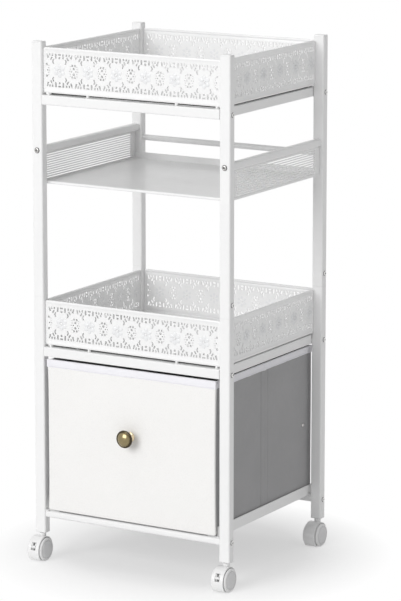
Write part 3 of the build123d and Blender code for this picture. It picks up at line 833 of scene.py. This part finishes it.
@dataclass
class PressedSheet:
    """A stamped sheet with a raised bead along its border and holes inside it."""

    length: float
    height: float
    thickness: float
    corner: float
    bead_steps: tuple[tuple[float, float], ...]

    def build(self, holes: Openwork) -> bmesh.types.BMesh:
        """Returns the sheet, facing Z, with its outer face at 0.

        Args:
            holes: The outlines of its holes, which are used up.
        """
        sheet = bmesh.new()
        made = unit_square(sheet, True)
        bmesh.ops.scale(sheet, vec=(self.length, self.height, 1.0), verts=made)
        round_off(sheet, sheet.verts[:], self.corner, 4, "VERTICES")
        field = sheet.faces[:][0]
        if field.normal.z < 0:
            field.normal_flip()
        for inset, rise in self.bead_steps:
            bmesh.ops.inset_individual(sheet, faces=[field], thickness=inset, depth=rise,
                                       use_even_offset=True)
        border = list(field.edges)
        bmesh.ops.delete(sheet, geom=[field], context="FACES_ONLY")
        known = set(sheet.edges)
        pour(holes.bm, sheet)
        loops = border + [edge for edge in sheet.edges if edge not in known]
        bmesh.ops.triangle_fill(sheet, use_beauty=True, use_dissolve=False, edges=loops, normal=(0, 0, 1))
        bmesh.ops.recalc_face_normals(sheet, faces=sheet.faces)
        if sum(face.normal.z * face.calc_area() for face in sheet.faces) < 0:
            bmesh.ops.reverse_faces(sheet, faces=sheet.faces)
        bmesh.ops.translate(sheet, vec=(0, 0, -self.thickness), verts=thicken(sheet))
        return sheet


@dataclass
class LaceTray:
    """A tray's four pressed lace walls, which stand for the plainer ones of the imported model."""

    level: Level
    height: float = 75.6
    thickness: float = 1.2
    corner: float = 4.2
    cross_length: float = 339.4
    side_length: float = 297.4
    cross_pitch: float = 55.25
    side_pitch: float = 53.9
    flowers: int = 6
    front_y: float = -149.15
    rear_y: float = 168.85
    side_x: float = 173.5
    line: float = 27.7
    line_offset: float = 0.2
    end_margin: float = 4.4
    rim_height: float = 4.0
    rim_depth: float = 3.0
    hem_inset: float = 8.0
    hem_height: float = 3.4
    petals: int = 6
    bead = ((0.9, 0.0), (0.6, 0.45), (0.8, 0.15), (0.8, -0.15), (0.6, -0.45))
    flower_bars = ((7.3, 4.0, 3.0, 8.0, 0.0), (13.7, 2.0, 2.7, 4.0, 0.0), (19.0, 2.1, 2.3, 4.2, -12.0),
                   (16.0, 8.0, 6.0, 2.6, -56.0))
    ring = ((2.9, 0.0), (3.2, 0.9), (3.7, 1.2), (4.2, 0.9), (4.5, 0.0), (4.5, -0.4), (2.9, -0.4), (2.9, 0.0))

    def flower_holes(self, holes: Openwork, x: float) -> None:
        """Adds the border bars, slots and chevrons round one flower.

        Args:
            holes: The wall's holes.
            x: The flower's place along the wall.
        """
        for up in (1, -1):
            top = up * self.line + self.line_offset
            holes.bar(x, top - up * 1.3, 5.7, 2.6)
            holes.round(x, top - up * 7.0, 2.0, 10)
            for side in (1, -1):
                for away, down, width, height, lean in self.flower_bars:
                    holes.bar(x + side * away, top - up * down, width, height, lean * side * up)
                holes.chevron(x + side * 12.4, top - up * 12.9, 4.3, 8.0, 2.5, side)

    def medallion_holes(self, holes: Openwork, x: float) -> None:
        """Adds the holes of the medallion between two flowers.

        Args:
            holes: The wall's holes.
            x: The medallion's place along the wall.
        """
        middle = self.line_offset
        for up in (1, -1):
            holes.round(x, middle + up * 4.6, 2.15, 10)
            for side in (1, -1):
                holes.bar(x + side * 2.75, middle + up * 9.7, 3.0, 3.6, 14.0 * side * up)
                holes.round(x + side * 6.6, middle + up * 7.8, 0.95, 6)
                holes.round(x + side * 6.6, middle + up * 3.9, 0.95, 6)
                flare, width = (1.9, 1.9) if up > 0 else (1 / 1.9, 3.6)
                far = middle + up * (self.line - 4.0)
                holes.bar(x + side * 4.3, far, width, 7.6, 19.0 * side * up, flare)
        for side in (1, -1):
            holes.round(x + side * 4.3, middle, 1.4, 8)
            holes.round(x + side * 8.2, middle, 0.95, 6)

    def blossom(self, form: Form, place: Matrix) -> None:
        """Adds one embossed blossom: petals round a ring and a boss.

        Args:
            form: The wall.
            place: The blossom's middle on the wall's outer face.
        """
        # The petals and the ring take slot 2, the greyer coat that paints the relief's shade; the boss keeps
        # the plain white coat.
        for index in range(self.petals):
            turn = Matrix.Rotation(2 * math.pi * (index + 0.5) / self.petals, 4, "Z")
            petal = Matrix.Translation((6.7, 0, -0.15)) @ Matrix.Diagonal((4.9, 3.9, 1.3, 1))
            form.dome(place @ turn @ petal, 12, 8, 2)
        form.dome(place @ Matrix.Translation((0, 0, -0.1)) @ Matrix.Diagonal((2.3, 2.3, 2.0, 1)), 12, 8)
        form.lathe(self.ring, place, 20, ((0.0, 9.0, 2),))

    def wall(self, node: str, facing: Facing) -> bpy.types.Object:
        """Builds one wall in place of its node.

        Args:
            node: The node it stands for.
            facing: The way its outer face looks.

        Returns:
            The wall.
        """
        cross = facing in (Facing.FRONT, Facing.REAR)
        length = self.cross_length if cross else self.side_length
        pitch = self.cross_pitch if cross else self.side_pitch
        x = {Facing.LEFT: -self.side_x, Facing.RIGHT: self.side_x}.get(facing, 0.0)
        y = {Facing.FRONT: self.front_y, Facing.REAR: self.rear_y}.get(facing, MIDDLE_Y)
        place = facing.place(x, y, self.level.value + self.height / 2)
        holes = Openwork(length / 2 - self.end_margin)
        spots = [(index - (self.flowers - 1) / 2) * pitch for index in range(self.flowers)]
        for spot in spots:
            self.flower_holes(holes, spot)
        for index in range(self.flowers + 1):
            self.medallion_holes(holes, (index - self.flowers / 2) * pitch)
        form = Form()
        sheet = PressedSheet(length, self.height, self.thickness, self.corner, self.bead).build(holes)
        form.absorb(sheet, place)
        for spot in spots:
            if abs(spot) < length / 2 - 12:
                self.blossom(form, place @ Matrix.Translation((spot, self.line_offset, 0)))
        top, rim, hem = self.height / 2, length / 2 - 2.4, length / 2 - 10.0
        form.block((-rim, top - self.rim_height, -self.rim_depth), (rim, top, -0.4), 0.9, 3, 0, place)
        # The hem takes slot 1, the near-black tray-fold coat: painted shade of the gap over the rail.
        form.block((-hem, -top - self.hem_height, -self.hem_inset - self.thickness),
                   (hem, -top + 0.2, -self.hem_inset), 0.3, 1, 1, place)
        return form.piece(f"{node}_pressed", "cart_frame", "white_powder_coat",
                          [finishes.pressed, finishes.fold, finishes.blossom], [node])

    def build(self) -> None:
        """Builds the tray's four walls."""
        tray = f"{self.level.name.lower()}_tray"
        for facing in Facing:
            self.wall(f"{tray}_{facing.name.lower()}_lace", facing)


@dataclass
class ShelfPanels:
    """The shelf's two slotted side panels."""

    start_y: float = -138.85
    end_y: float = 158.55
    base_z: float = 647.3
    top_z: float = 697.5
    outer_x: float = 183.0
    thickness: float = 1.0
    slits: int = 11
    slit_height: float = 1.95
    slit_pitch: float = 3.9
    slit_margin: float = 16.0
    dot_margin: float = 11.0
    bead = ((1.3, 0.0), (0.6, 0.75), (0.9, 0.1), (0.8, -0.1), (0.6, -0.75))

    def build(self) -> None:
        """Builds both panels as one piece."""
        length, height = self.end_y - self.start_y, self.top_z - self.base_z
        form = Form()
        for facing, side in SIDES:
            holes = Openwork(length / 2)
            for index in range(self.slits):
                y = (index - (self.slits - 1) / 2) * self.slit_pitch
                holes.slit(y, length / 2 - self.slit_margin, self.slit_height)
                for end in (-1, 1):
                    holes.round(end * (length / 2 - self.dot_margin), y, 0.6, 6)
            sheet = PressedSheet(length, height, self.thickness, 6.5, self.bead).build(holes)
            middle_z = (self.base_z + self.top_z) / 2
            form.absorb(sheet, facing.place(side * self.outer_x, MIDDLE_Y, middle_z))
        form.piece("shelf_slotted_panels", "cart_frame", "white_powder_coat", [finishes.pressed],
                   ["shelf_side_panels"])


@dataclass
class SoftDrawer:
    """The drawer's covered front, cloth boards, sewn tape, studs and turned knob."""

    front_y: float = -155.15
    front_back_y: float = -150.15
    half_width: float = 163.4
    base_z: float = 88.8
    top_z: float = 350.0
    wall_top_z: float = 348.5
    board_outer_x: float = 162.4
    board: float = 2.6
    back_y: float = 173.25
    tape_low_z: float = 337.0
    tape_top_z: float = 349.2
    tape_proud: float = 0.7
    fold_y: float = 9.85
    fold_half: float = 11.5
    knob_z: float = 237.0
    stud_y: float = 143.45
    stud_z: float = 214.0
    front_lift: float = 1.4
    front_waist: float = 1.7
    front_corner: float = 4.5
    knob_profile = (
        (0.0, 0.0), (8.3, 0.0), (8.5, 0.5), (8.4, 1.3), (7.6, 2.0), (6.3, 2.5), (5.4, 3.6), (5.0, 5.2),
        (4.9, 8.0), (5.2, 10.2), (6.2, 12.0), (8.2, 13.5), (10.8, 14.6), (13.2, 15.6), (14.5, 16.6),
        (15.0, 17.8), (15.0, 19.0), (14.6, 20.0), (13.7, 20.6), (12.9, 20.7), (12.6, 20.35),
        (12.2, 20.35), (11.8, 21.2), (9.8, 22.6), (7.2, 23.8), (4.2, 24.6), (1.6, 24.95), (0.0, 25.0))
    stud_profile = ((0.0, -1.2), (3.0, -1.2), (3.19, 0.1), (3.1, 0.6), (2.4, 1.5), (1.3, 2.05), (0.0, 2.19))

    def skin(self, width: float, height: float, depth: float, columns: int, rows: int,
             shape: Callable[[float, float], tuple[float, float]], edge: float, corner: float = 0.0
             ) -> bmesh.types.BMesh:
        """Builds a soft board: a grid shaped by a function, with thickness and rounded front edges.

        Args:
            width: Its width.
            height: Its height.
            depth: Its thickness.
            columns: The steps along its width.
            rows: The steps along its height.
            shape: Gives the pull of a point along the width and its rise, from its place -1 to 1.
            edge: The radius of its front edges.
            corner: The radius of its two lower corners.

        Returns:
            The board, drawn flat about its middle, with its back at -depth.
        """
        board = bmesh.new()
        bmesh.ops.create_grid(board, x_segments=columns, y_segments=rows, size=0.5)
        for vert in board.verts:
            u, v = 2 * vert.co.x, 2 * vert.co.y
            pull, rise = shape(u, v)
            vert.co = Vector((u * width / 2 + pull, v * height / 2, rise))
        for vert in thicken(board):
            vert.co.z = -depth
        bmesh.ops.recalc_face_normals(board, faces=board.faces)
        if corner:
            low = min(vert.co.y for vert in board.verts) + 0.01
            ends = [e for e in board.edges if all(v.co.y < low for v in e.verts)
                    and abs(e.verts[0].co.z - e.verts[1].co.z) > depth / 2 and e.calc_face_angle(0.0) > 0.8]
            round_off(board, ends, corner, 4)
        back_set = {vert for vert in board.verts if abs(vert.co.z + depth) < 1e-4}
        rounded = [e for e in board.edges if not any(v in back_set for v in e.verts)
                   and len(e.link_faces) == 2 and any(abs(f.normal.z) < 0.5 for f in e.link_faces)]
        round_off(board, rounded, edge, 3)
        return board

    def front(self) -> None:
        """Builds the covered front: crowned, drawn in a little between its corners."""
        low_z = self.base_z + self.front_lift
        height = self.top_z - low_z

        def shape(u: float, v: float) -> tuple[float, float]:
            """Returns the pull and the rise of the cover."""
            drop = (0.91 - v) / 1.91
            waist = math.sin(math.pi * min(max(drop, 0.0), 1.0)) ** 0.5
            crown = (1 - u ** 4) * (1 - v ** 4)
            ripple = 0.10 * math.sin(9 * u + 2 * v) * math.sin(5 * v + 1.3)
            return -self.front_waist * u * waist, -0.8 + crown + ripple

        form = Form()
        depth = self.front_back_y - self.front_y
        board = self.skin(2 * self.half_width, height, depth, 44, 36, shape, 1.5, self.front_corner)
        form.absorb(board, Facing.FRONT.place(0, self.front_y, (low_z + self.top_z) / 2))
        form.piece("drawer_front_cover", "drawer", "drawer_front_cover", [finishes.cover], ["drawer_front"])

    def boards(self) -> None:
        """Builds the two side boards with their fold, and the back."""
        length = self.back_y - self.front_back_y
        height = self.wall_top_z - self.base_z
        middle_y = (self.back_y + self.front_back_y) / 2
        middle_z = (self.base_z + self.wall_top_z) / 2

        for name, facing, side in (("left", Facing.LEFT, -1), ("right", Facing.RIGHT, 1)):
            def shape(u: float, v: float, side: int = side) -> tuple[float, float]:
                """Returns the rise of the cloth, with its fold and the two lines beside it."""
                y = middle_y + side * u * length / 2 - self.fold_y
                fold = 0.45 * math.exp(-(y / 1.8) ** 2)
                lines = 0.35 * sum(math.exp(-((y - line * self.fold_half) / 1.4) ** 2) for line in (-1, 1))
                bow = 0.5 * (1 - u ** 2) * (1 - v ** 4)
                ripple = 0.12 * math.sin(7 * u + 1.5 * v) * math.sin(4 * v + 0.6)
                return 0.0, -0.45 + bow * 0.5 - fold - lines + ripple

            form = Form()
            form.absorb(self.skin(length, height, self.board, 150, 14, shape, 0.5),
                        facing.place(side * self.board_outer_x, middle_y, middle_z))
            x = side * (self.board_outer_x - 0.62)
            for line in (-1, 1):
                y = self.fold_y + line * self.fold_half
                form.seam((x, y, self.base_z + 6), (x, y, self.tape_low_z - 1), (side, 0, 0), 4.2, 0.36)
            node = f"drawer_{name}_side"
            form.piece(f"{node}_cloth", "drawer", "drawer_grey_fabric",
                       [finishes.cloth_side, finishes.grey_thread], [node])

        def back_shape(u: float, v: float) -> tuple[float, float]:
            """Returns the rise of the back's cloth."""
            ripple = 0.1 * math.sin(6 * u) * math.sin(4 * v)
            return 0.0, -0.35 + 0.35 * (1 - u ** 2) * (1 - v ** 2) + ripple

        form = Form()
        width = 2 * (self.board_outer_x - self.board)
        form.absorb(self.skin(width, height, self.board, 40, 14, back_shape, 0.5),
                    Facing.REAR.place(0, self.back_y, middle_z))
        form.piece("drawer_back_cloth", "drawer", "drawer_grey_fabric", [finishes.cloth_back],
                   ["drawer_back"])

    @staticmethod
    def ribbon(size: Sequence[float], edge: float, cuts: int) -> bmesh.types.BMesh:
        """Returns a bar with rounded long edges, cut across so that it can wave.

        Args:
            size: Its length, height and depth.
            edge: The radius of its long edges.
            cuts: The number of cuts.
        """
        part = box(size)

        def lengthwise() -> list[bmesh.types.BMEdge]:
            """Returns the edges along its length."""
            return [e for e in part.edges if abs(e.verts[0].co.x - e.verts[1].co.x) > 1.0]

        round_off(part, lengthwise(), edge, 3)
        bmesh.ops.subdivide_edges(part, edges=lengthwise(), cuts=cuts)
        return part

    def tape_run(self, form: Form, length: float, place: Matrix, seed: float) -> None:
        """Adds one straight run of sewn tape: a slightly wavy, rounded channel.

        Args:
            form: The tape.
            length: The run's length.
            place: The middle of the run, with its length along X and its outer face to Z.
            seed: Shifts its waves.
        """
        depth, height = self.board + 2 * self.tape_proud, self.tape_top_z - self.tape_low_z
        part = self.ribbon((length, height, depth), 1.1, int(length / 6))
        for vert in part.verts:
            wave = math.sin(vert.co.x / 13.0 + seed) * math.sin(vert.co.x / 5.1 + 2 * seed)
            if vert.co.y < 0:
                vert.co.y += 0.30 * wave
            vert.co.z += 0.10 * math.sin(vert.co.x / 9.0 + seed + vert.co.y)
        form.absorb(part, place)

    def tape(self) -> None:
        """Builds the sewn tape round the walls' top edges, with its stitches and its joint at the fold."""
        form = Form()
        half = (self.board + 2 * self.tape_proud) / 2
        middle_z = (self.tape_low_z + self.tape_top_z) / 2
        stitch_z = self.tape_low_z + 2.1
        outer_x = self.board_outer_x + self.tape_proud
        rear_y = self.back_y + self.tape_proud
        length = rear_y - self.front_back_y
        for facing, side in SIDES:
            middle_y = (rear_y + self.front_back_y) / 2
            self.tape_run(form, length, facing.place(side * (outer_x - half), middle_y, middle_z), 1.7 + side)
            for x, out in ((outer_x, side), (outer_x - 2 * half, -side)):
                form.seam((side * x, self.front_back_y + 2, stitch_z), (side * x, rear_y - 2, stitch_z),
                          (out, 0, 0))
            form.block((side * outer_x - 0.5, self.fold_y - 3.5, self.tape_low_z - 0.4),
                       (side * outer_x + 0.5, self.fold_y + 3.5, self.tape_top_z + 0.1), 0.4)
        width = 2 * (outer_x - 2 * half)
        self.tape_run(form, width, Facing.REAR.place(0, rear_y - half, middle_z), 0.4)
        for y, out in ((rear_y, 1), (rear_y - 2 * half, -1)):
            form.seam((-width / 2 + 2, y, stitch_z), (width / 2 - 2, y, stitch_z), (0, out, 0))
        form.piece("drawer_binding_sewn", "drawer", "drawer_binding_tape", [finishes.tape, finishes.thread],
                   ["drawer_binding"])

    def front_strip(self) -> None:
        """Builds the tape sewn over the front's upper edge."""
        form = Form()
        low_z, top_z = self.top_z - 13.0, self.top_z + 0.5
        part = self.ribbon((2 * self.half_width + 0.4, top_z - low_z, 5.6), 1.3, 64)
        for vert in part.verts:
            x = vert.co.x
            if vert.co.y < 0:
                vert.co.y += 0.35 * math.sin(x / 3.1) * math.sin(x / 17.0) + 0.25 * math.sin(x / 41.0)
            vert.co.z += 0.09 * math.sin(x / 8.0 + vert.co.y / 3)
        middle_y = self.front_y + 2.45
        form.absorb(part, Facing.FRONT.place(0, middle_y, (low_z + top_z) / 2))
        y, end = self.front_y - 0.35, self.half_width - 2
        form.seam((-end, y, low_z + 2.0), (end, y, low_z + 2.0), (0, -1, 0), 3.0, 0.3)
        form.piece("drawer_front_tape", "drawer", "drawer_binding_tape", [finishes.tape, finishes.thread])

    def knob(self) -> None:
        """Builds the turned mushroom knob."""
        form = Form()
        form.lathe(self.knob_profile, Facing.FRONT.place(0, self.front_y, self.knob_z), 48)
        form.piece("drawer_knob_turned", "drawer", "antique_brass", [finishes.brass], ["drawer_knob"], 50.0)

    def studs(self) -> None:
        """Builds the domed studs on the two sides."""
        form = Form()
        for facing, side in SIDES:
            place = facing.place(side * self.board_outer_x, self.stud_y, self.stud_z)
            form.lathe(self.stud_profile, place, 20)
        form.piece("drawer_domed_studs", "drawer", "nickel_fasteners", [finishes.nickel],
                   ["drawer_studs"], 60.0)

    def build(self) -> None:
        """Builds the drawer's soft and turned pieces."""
        self.front()
        self.boards()
        self.tape()
        self.front_strip()
        self.knob()
        self.studs()


@dataclass
class Bolts:
    """The domed bolt heads with their hexagon sockets."""

    side_levels: tuple[float, ...] = (81.0, 362.5, 478.1, 788.9)
    shelf_level: float = 703.5
    post_half_width: float = 10.0
    post_half_depth: float = 8.0

    @staticmethod
    def head(form: Form, place: Matrix, radius: float, rise: float) -> None:
        """Adds one head.

        Args:
            form: The group of heads.
            place: Its seat, with its axis along Z.
            radius: Its radius.
            rise: Its height.
        """
        socket = 0.42 * radius
        profile = [(0.0, -0.6), (radius - 0.3, -0.6), (radius, 0.0), (radius * 0.97, rise * 0.3),
                   (radius * 0.82, rise * 0.72), (radius * 0.62, rise * 0.95), (socket * 1.16, rise),
                   (socket, rise - 0.15), (socket, rise * 0.25), (0.0, rise * 0.15)]
        # Slot 1 on the hex socket and on a ring at the rim paints them dark: painted shade of the recess and
        # round the head.
        form.lathe(profile, place, 24, ((0.0, socket * 0.99, 1), (radius * 0.86, radius, 1)))

    def build(self) -> None:
        """Builds both groups of heads; the shanks are hidden in the posts."""
        side, shelf = Form(), Form()
        for corner in Corner:
            across, out = corner.value
            facing = Facing.RIGHT if across > 0 else Facing.LEFT
            for z in self.side_levels:
                place = facing.place(corner.x + across * self.post_half_width, corner.y, z)
                self.head(side, place, 4.3, 2.2)
            facing = Facing.REAR if out > 0 else Facing.FRONT
            place = facing.place(corner.x, corner.y + out * self.post_half_depth, self.shelf_level)
            self.head(shelf, place, 5.0, 2.5)
        side.piece("side_bolt_heads", "cart_frame", "nickel_fasteners",
                   [finishes.pale_nickel, finishes.nickel_with_painted_shade], ["side_bolts"], 50.0)
        shelf.piece("shelf_bolt_heads", "cart_frame", "nickel_fasteners", [finishes.nickel, finishes.socket],
                    ["shelf_bolts"], 50.0)


@dataclass
class CasterWheels:
    """A caster's pair of wheels: pale rims with a groove, and greyer domed discs."""

    corner: Corner
    radius: float = 20.0
    inner_face: float = 5.2
    axle_offset: float = 9.0

    def build(self) -> None:
        """Builds the pair in place of its node."""
        r = self.radius
        profile = [(0.0, 0.0), (r - 2.2, 0.0), (r - 0.7, 0.5), (r, 1.6), (r, 4.8),
                   (r - 1.7, 5.0), (r - 1.7, 6.1),
                   (r - 0.1, 6.4), (r, 6.7), (r - 0.3, 7.4), (r - 1.2, 8.4), (r - 2.5, 9.05),
                   (r - 3.9, 9.35), (r - 4.3, 9.2), (r - 4.45, 8.5), (r - 4.9, 8.4), (r - 5.05, 9.1),
                   (r - 5.6, 9.5), (r - 10.0, 9.88), (r - 14.0, 9.98), (0.0, 10.0)]
        form = Form()
        for facing, side in SIDES:
            place = facing.place(self.corner.x + side * self.inner_face, self.corner.y - self.axle_offset, r)
            part = Form()
            part.lathe(profile, Matrix(), 48)
            part.bm.normal_update()
            for face in part.bm.faces:
                middle = face.calc_center_median()
                if math.hypot(middle.x, middle.y) < r - 4.95 and middle.z > 5.0:
                    face.material_index = 1
            form.absorb(part.bm, place, -1)
        name = self.corner.name
        form.piece(f"caster_{name}_rims", f"{name}_wheels", "wheel_plastic", [finishes.wheel, finishes.disc],
                   [f"caster_{name}_wheels"], 40.0)


@dataclass
class BrakeLever:
    """A front caster's brake lever: a curved pad under a fork, on an arm that turns on a pin."""

    corner: Corner
    axle_z: float = 20.0
    axle_offset: float = 9.0
    pad_low: float = 13.5
    pad_high: float = 26.0
    fork_high: float = 38.6
    pad_inner: float = 19.9
    pad_outer: float = 23.4
    fork_outer: float = 22.3
    pad_width: float = 8.0
    fork_width: float = 2.0
    pivot_arm: float = 11.0
    pivot_angle: float = 42.0
    arm_width: float = 3.6
    arm_depth: float = 2.6

    def sector(self, low: float, high: float, outer: float, width: float,
               aside: float = 0.0) -> bmesh.types.BMesh:
        """Sweeps a bar about the axle, with its front to -X and its width along Z.

        Args:
            low: The angle of its lower end in degrees.
            high: The angle of its upper end in degrees.
            outer: Its outer radius.
            width: Its width.
            aside: How far its middle lies to the side.

        Returns:
            The bar.
        """
        part = bmesh.new()
        origin = (0, 0, 0)
        upright = Matrix.Rotation(math.pi / 2, 3, "X")
        start = Matrix.Rotation(-math.radians(low), 3, "Z")
        bmesh.ops.create_grid(part, x_segments=1, y_segments=1, size=0.5)
        bmesh.ops.scale(part, vec=(outer - self.pad_inner, width, 1.0), verts=part.verts)
        bmesh.ops.rotate(part, cent=origin, matrix=upright, verts=part.verts)
        bmesh.ops.translate(part, vec=(-(outer + self.pad_inner) / 2, 0, aside), verts=part.verts)
        bmesh.ops.rotate(part, cent=origin, matrix=start, verts=part.verts)
        bmesh.ops.spin(part, geom=part.verts[:] + part.edges[:] + part.faces[:], cent=origin,
                       axis=(0, 0, 1), angle=-math.radians(high - low), steps=5, use_merge=False)
        bmesh.ops.recalc_face_normals(part, faces=part.faces)
        sharp = [edge for edge in part.edges if edge.calc_face_angle(0.0) > 0.8]
        round_off(part, sharp, 0.35 * min(width, outer - self.pad_inner), 2)
        return part

    def build(self) -> None:
        """Builds the lever in place of its node."""
        place = Facing.RIGHT.place(self.corner.x, self.corner.y - self.axle_offset, self.axle_z)
        form = Form()
        form.absorb(self.sector(self.pad_low, self.pad_high, self.pad_outer, self.pad_width), place)
        for side in (-1, 1):
            aside = side * (self.pad_width - self.fork_width) / 2
            fork = self.sector(self.pad_high - 3.0, self.fork_high, self.fork_outer, self.fork_width, aside)
            form.absorb(fork, place)
        angle = math.radians(self.pivot_angle)
        pivot = Vector((-self.pivot_arm * math.cos(angle), self.pivot_arm * math.sin(angle), 0))
        reach, lean = 21.0, math.radians(20.0)
        tip = Vector((-reach * math.cos(lean), reach * math.sin(lean), 0))
        turn = (tip - pivot).to_track_quat("X", "Z").to_matrix().to_4x4()
        seat = place @ Matrix.Translation(pivot)
        half = self.arm_width / 2
        form.block((-0.5, -self.arm_depth / 2, -half), ((tip - pivot).length, self.arm_depth / 2, half), 0.4,
                   place=seat @ turn)
        boss = [(0.0, -half), (2.3, -half), (2.6, -half + 0.3), (2.6, half - 0.3), (2.3, half), (0.0, half)]
        form.lathe(boss, seat, 24)
        pin = [(0.0, -4.6), (1.1, -4.6), (1.1, 4.6), (0.0, 4.6)]
        form.lathe(pin, seat, 16)
        name = self.corner.name
        form.piece(f"caster_{name}_brake_pedal", f"{name}_brake", "white_plastic", [finishes.wheel],
                   [f"caster_{name}_brake_lever"], 40.0)


@dataclass
class Studio:
    """The plain floor, the soft light and the camera at the photograph's angle."""

    camera_place: tuple[float, float, float] = (2.66849, -4.45039, 1.50896)
    azimuth: float = 30.6142
    elevation: float = 9.9919
    lens: float = 187.889
    shift: tuple[float, float] = (0.0074, -0.14975)
    floor_half: float = 9.0
    ambient: float = 0.37
    lamps = (("front_softbox", (-1.9, -9.0, 4.3), 6.0, 555.0), ("side_softbox", (5.2, -0.3, 0.9), 3.0, 23.0),
             ("top_softbox", (-0.4, -0.2, 5.2), 2.8, 34.0))

    def seen_directly(self, wire: Wiring) -> Socket:
        """Returns 1 for rays from the camera, off glossy surfaces or through clear ones."""
        path = wire.node("ShaderNodeLightPath")
        seen = wire.math("ADD", path.outputs["Is Camera Ray"], path.outputs["Is Glossy Ray"], clamp=True)
        return wire.math("ADD", seen, path.outputs["Is Transmission Ray"], clamp=True)

    def floor(self) -> None:
        """Builds the floor, which fades to white away from the trolley and keeps its shadow."""
        bm = bmesh.new()
        bmesh.ops.create_grid(bm, x_segments=1, y_segments=1, size=self.floor_half)
        mesh = bpy.data.meshes.new("studio_floor")
        bm.to_mesh(mesh)
        bm.free()
        floor = add_object("studio_floor", mesh)
        material = bpy.data.materials.new("pale_floor")
        material.use_nodes = True
        wire = Wiring(material.node_tree)
        material.node_tree.nodes.clear()
        paint = wire.node("ShaderNodeBsdfDiffuse")
        wire.feed(paint, "Color", (0.93, 0.93, 0.93, 1.0))
        glow = wire.node("ShaderNodeEmission")
        away = wire.node("ShaderNodeVectorMath", operation="DISTANCE")
        wire.feed(away, 0, wire.place())
        wire.feed(away, 1, (0.01, 0.015, 0.0))
        fade = wire.spread(away.outputs["Value"], 0.20, 0.35, 0.48, 1.0)
        share = wire.math("MULTIPLY", fade, self.seen_directly(wire))
        both = wire.node("ShaderNodeMixShader")
        wire.feed(both, 0, share)
        wire.feed(both, 1, paint.outputs[0])
        wire.feed(both, 2, glow.outputs[0])
        wire.feed(wire.node("ShaderNodeOutputMaterial"), 0, both.outputs[0])
        mesh.materials.append(material)

    def sky(self) -> None:
        """Sets an even pale surround that is white where it is seen."""
        world = bpy.data.worlds.new("studio_surround")
        bpy.context.scene.world = world
        world.use_nodes = True
        wire = Wiring(world.node_tree)
        world.node_tree.nodes.clear()
        background = wire.node("ShaderNodeBackground")
        wire.feed(background, "Color", (1.0, 1.0, 1.0, 1.0))
        wire.feed(background, "Strength", wire.spread(self.seen_directly(wire), 0.0, 1.0, self.ambient, 1.0))
        wire.feed(wire.node("ShaderNodeOutputWorld"), 0, background.outputs[0])

    def lamp(self, name: str, place: tuple[float, float, float], size: float, power: float) -> None:
        """Adds a square soft lamp that looks at the trolley's middle.

        Args:
            name: The lamp's name.
            place: Where it hangs.
            size: Its width.
            power: Its power in watts.
        """
        light = bpy.data.lights.new(name, "AREA")
        light.size, light.energy = size, power
        made = add_object(name, light)
        made.location = place
        made.rotation_euler = (Vector((0, 0, 0.45)) - Vector(place)).to_track_quat("-Z", "Y").to_euler()

    def camera(self) -> None:
        """Sets the camera from the fit to the photograph."""
        lens = bpy.data.cameras.new("camera")
        lens.lens, lens.sensor_width = self.lens, 36.0
        lens.shift_x, lens.shift_y = self.shift
        lens.clip_start, lens.clip_end = 0.05, 60.0
        made = add_object("camera", lens)
        made.location = self.camera_place
        made.rotation_euler = (math.radians(90.0 - self.elevation), 0.0, math.radians(self.azimuth))
        bpy.context.scene.camera = made

    def build(self) -> None:
        """Sets up the whole studio."""
        self.camera()
        self.sky()
        self.floor()
        for lamp in self.lamps:
            self.lamp(*lamp)
        bpy.context.scene.view_settings.view_transform = "Standard"


finishes = Finishes()


def main() -> None:
    """Builds the trolley's pieces in order and reports each one."""
    Studio().build()
    finishes.dress_frame()
    for level in Level:
        LaceTray(level).build()
    ShelfPanels().build()
    SoftDrawer().build()
    Bolts().build()
    for corner in Corner:
        CasterWheels(corner).build()
        if corner in (Corner.front_left, Corner.front_right):
            BrakeLever(corner).build()


if __name__ == "__main__":
    main()
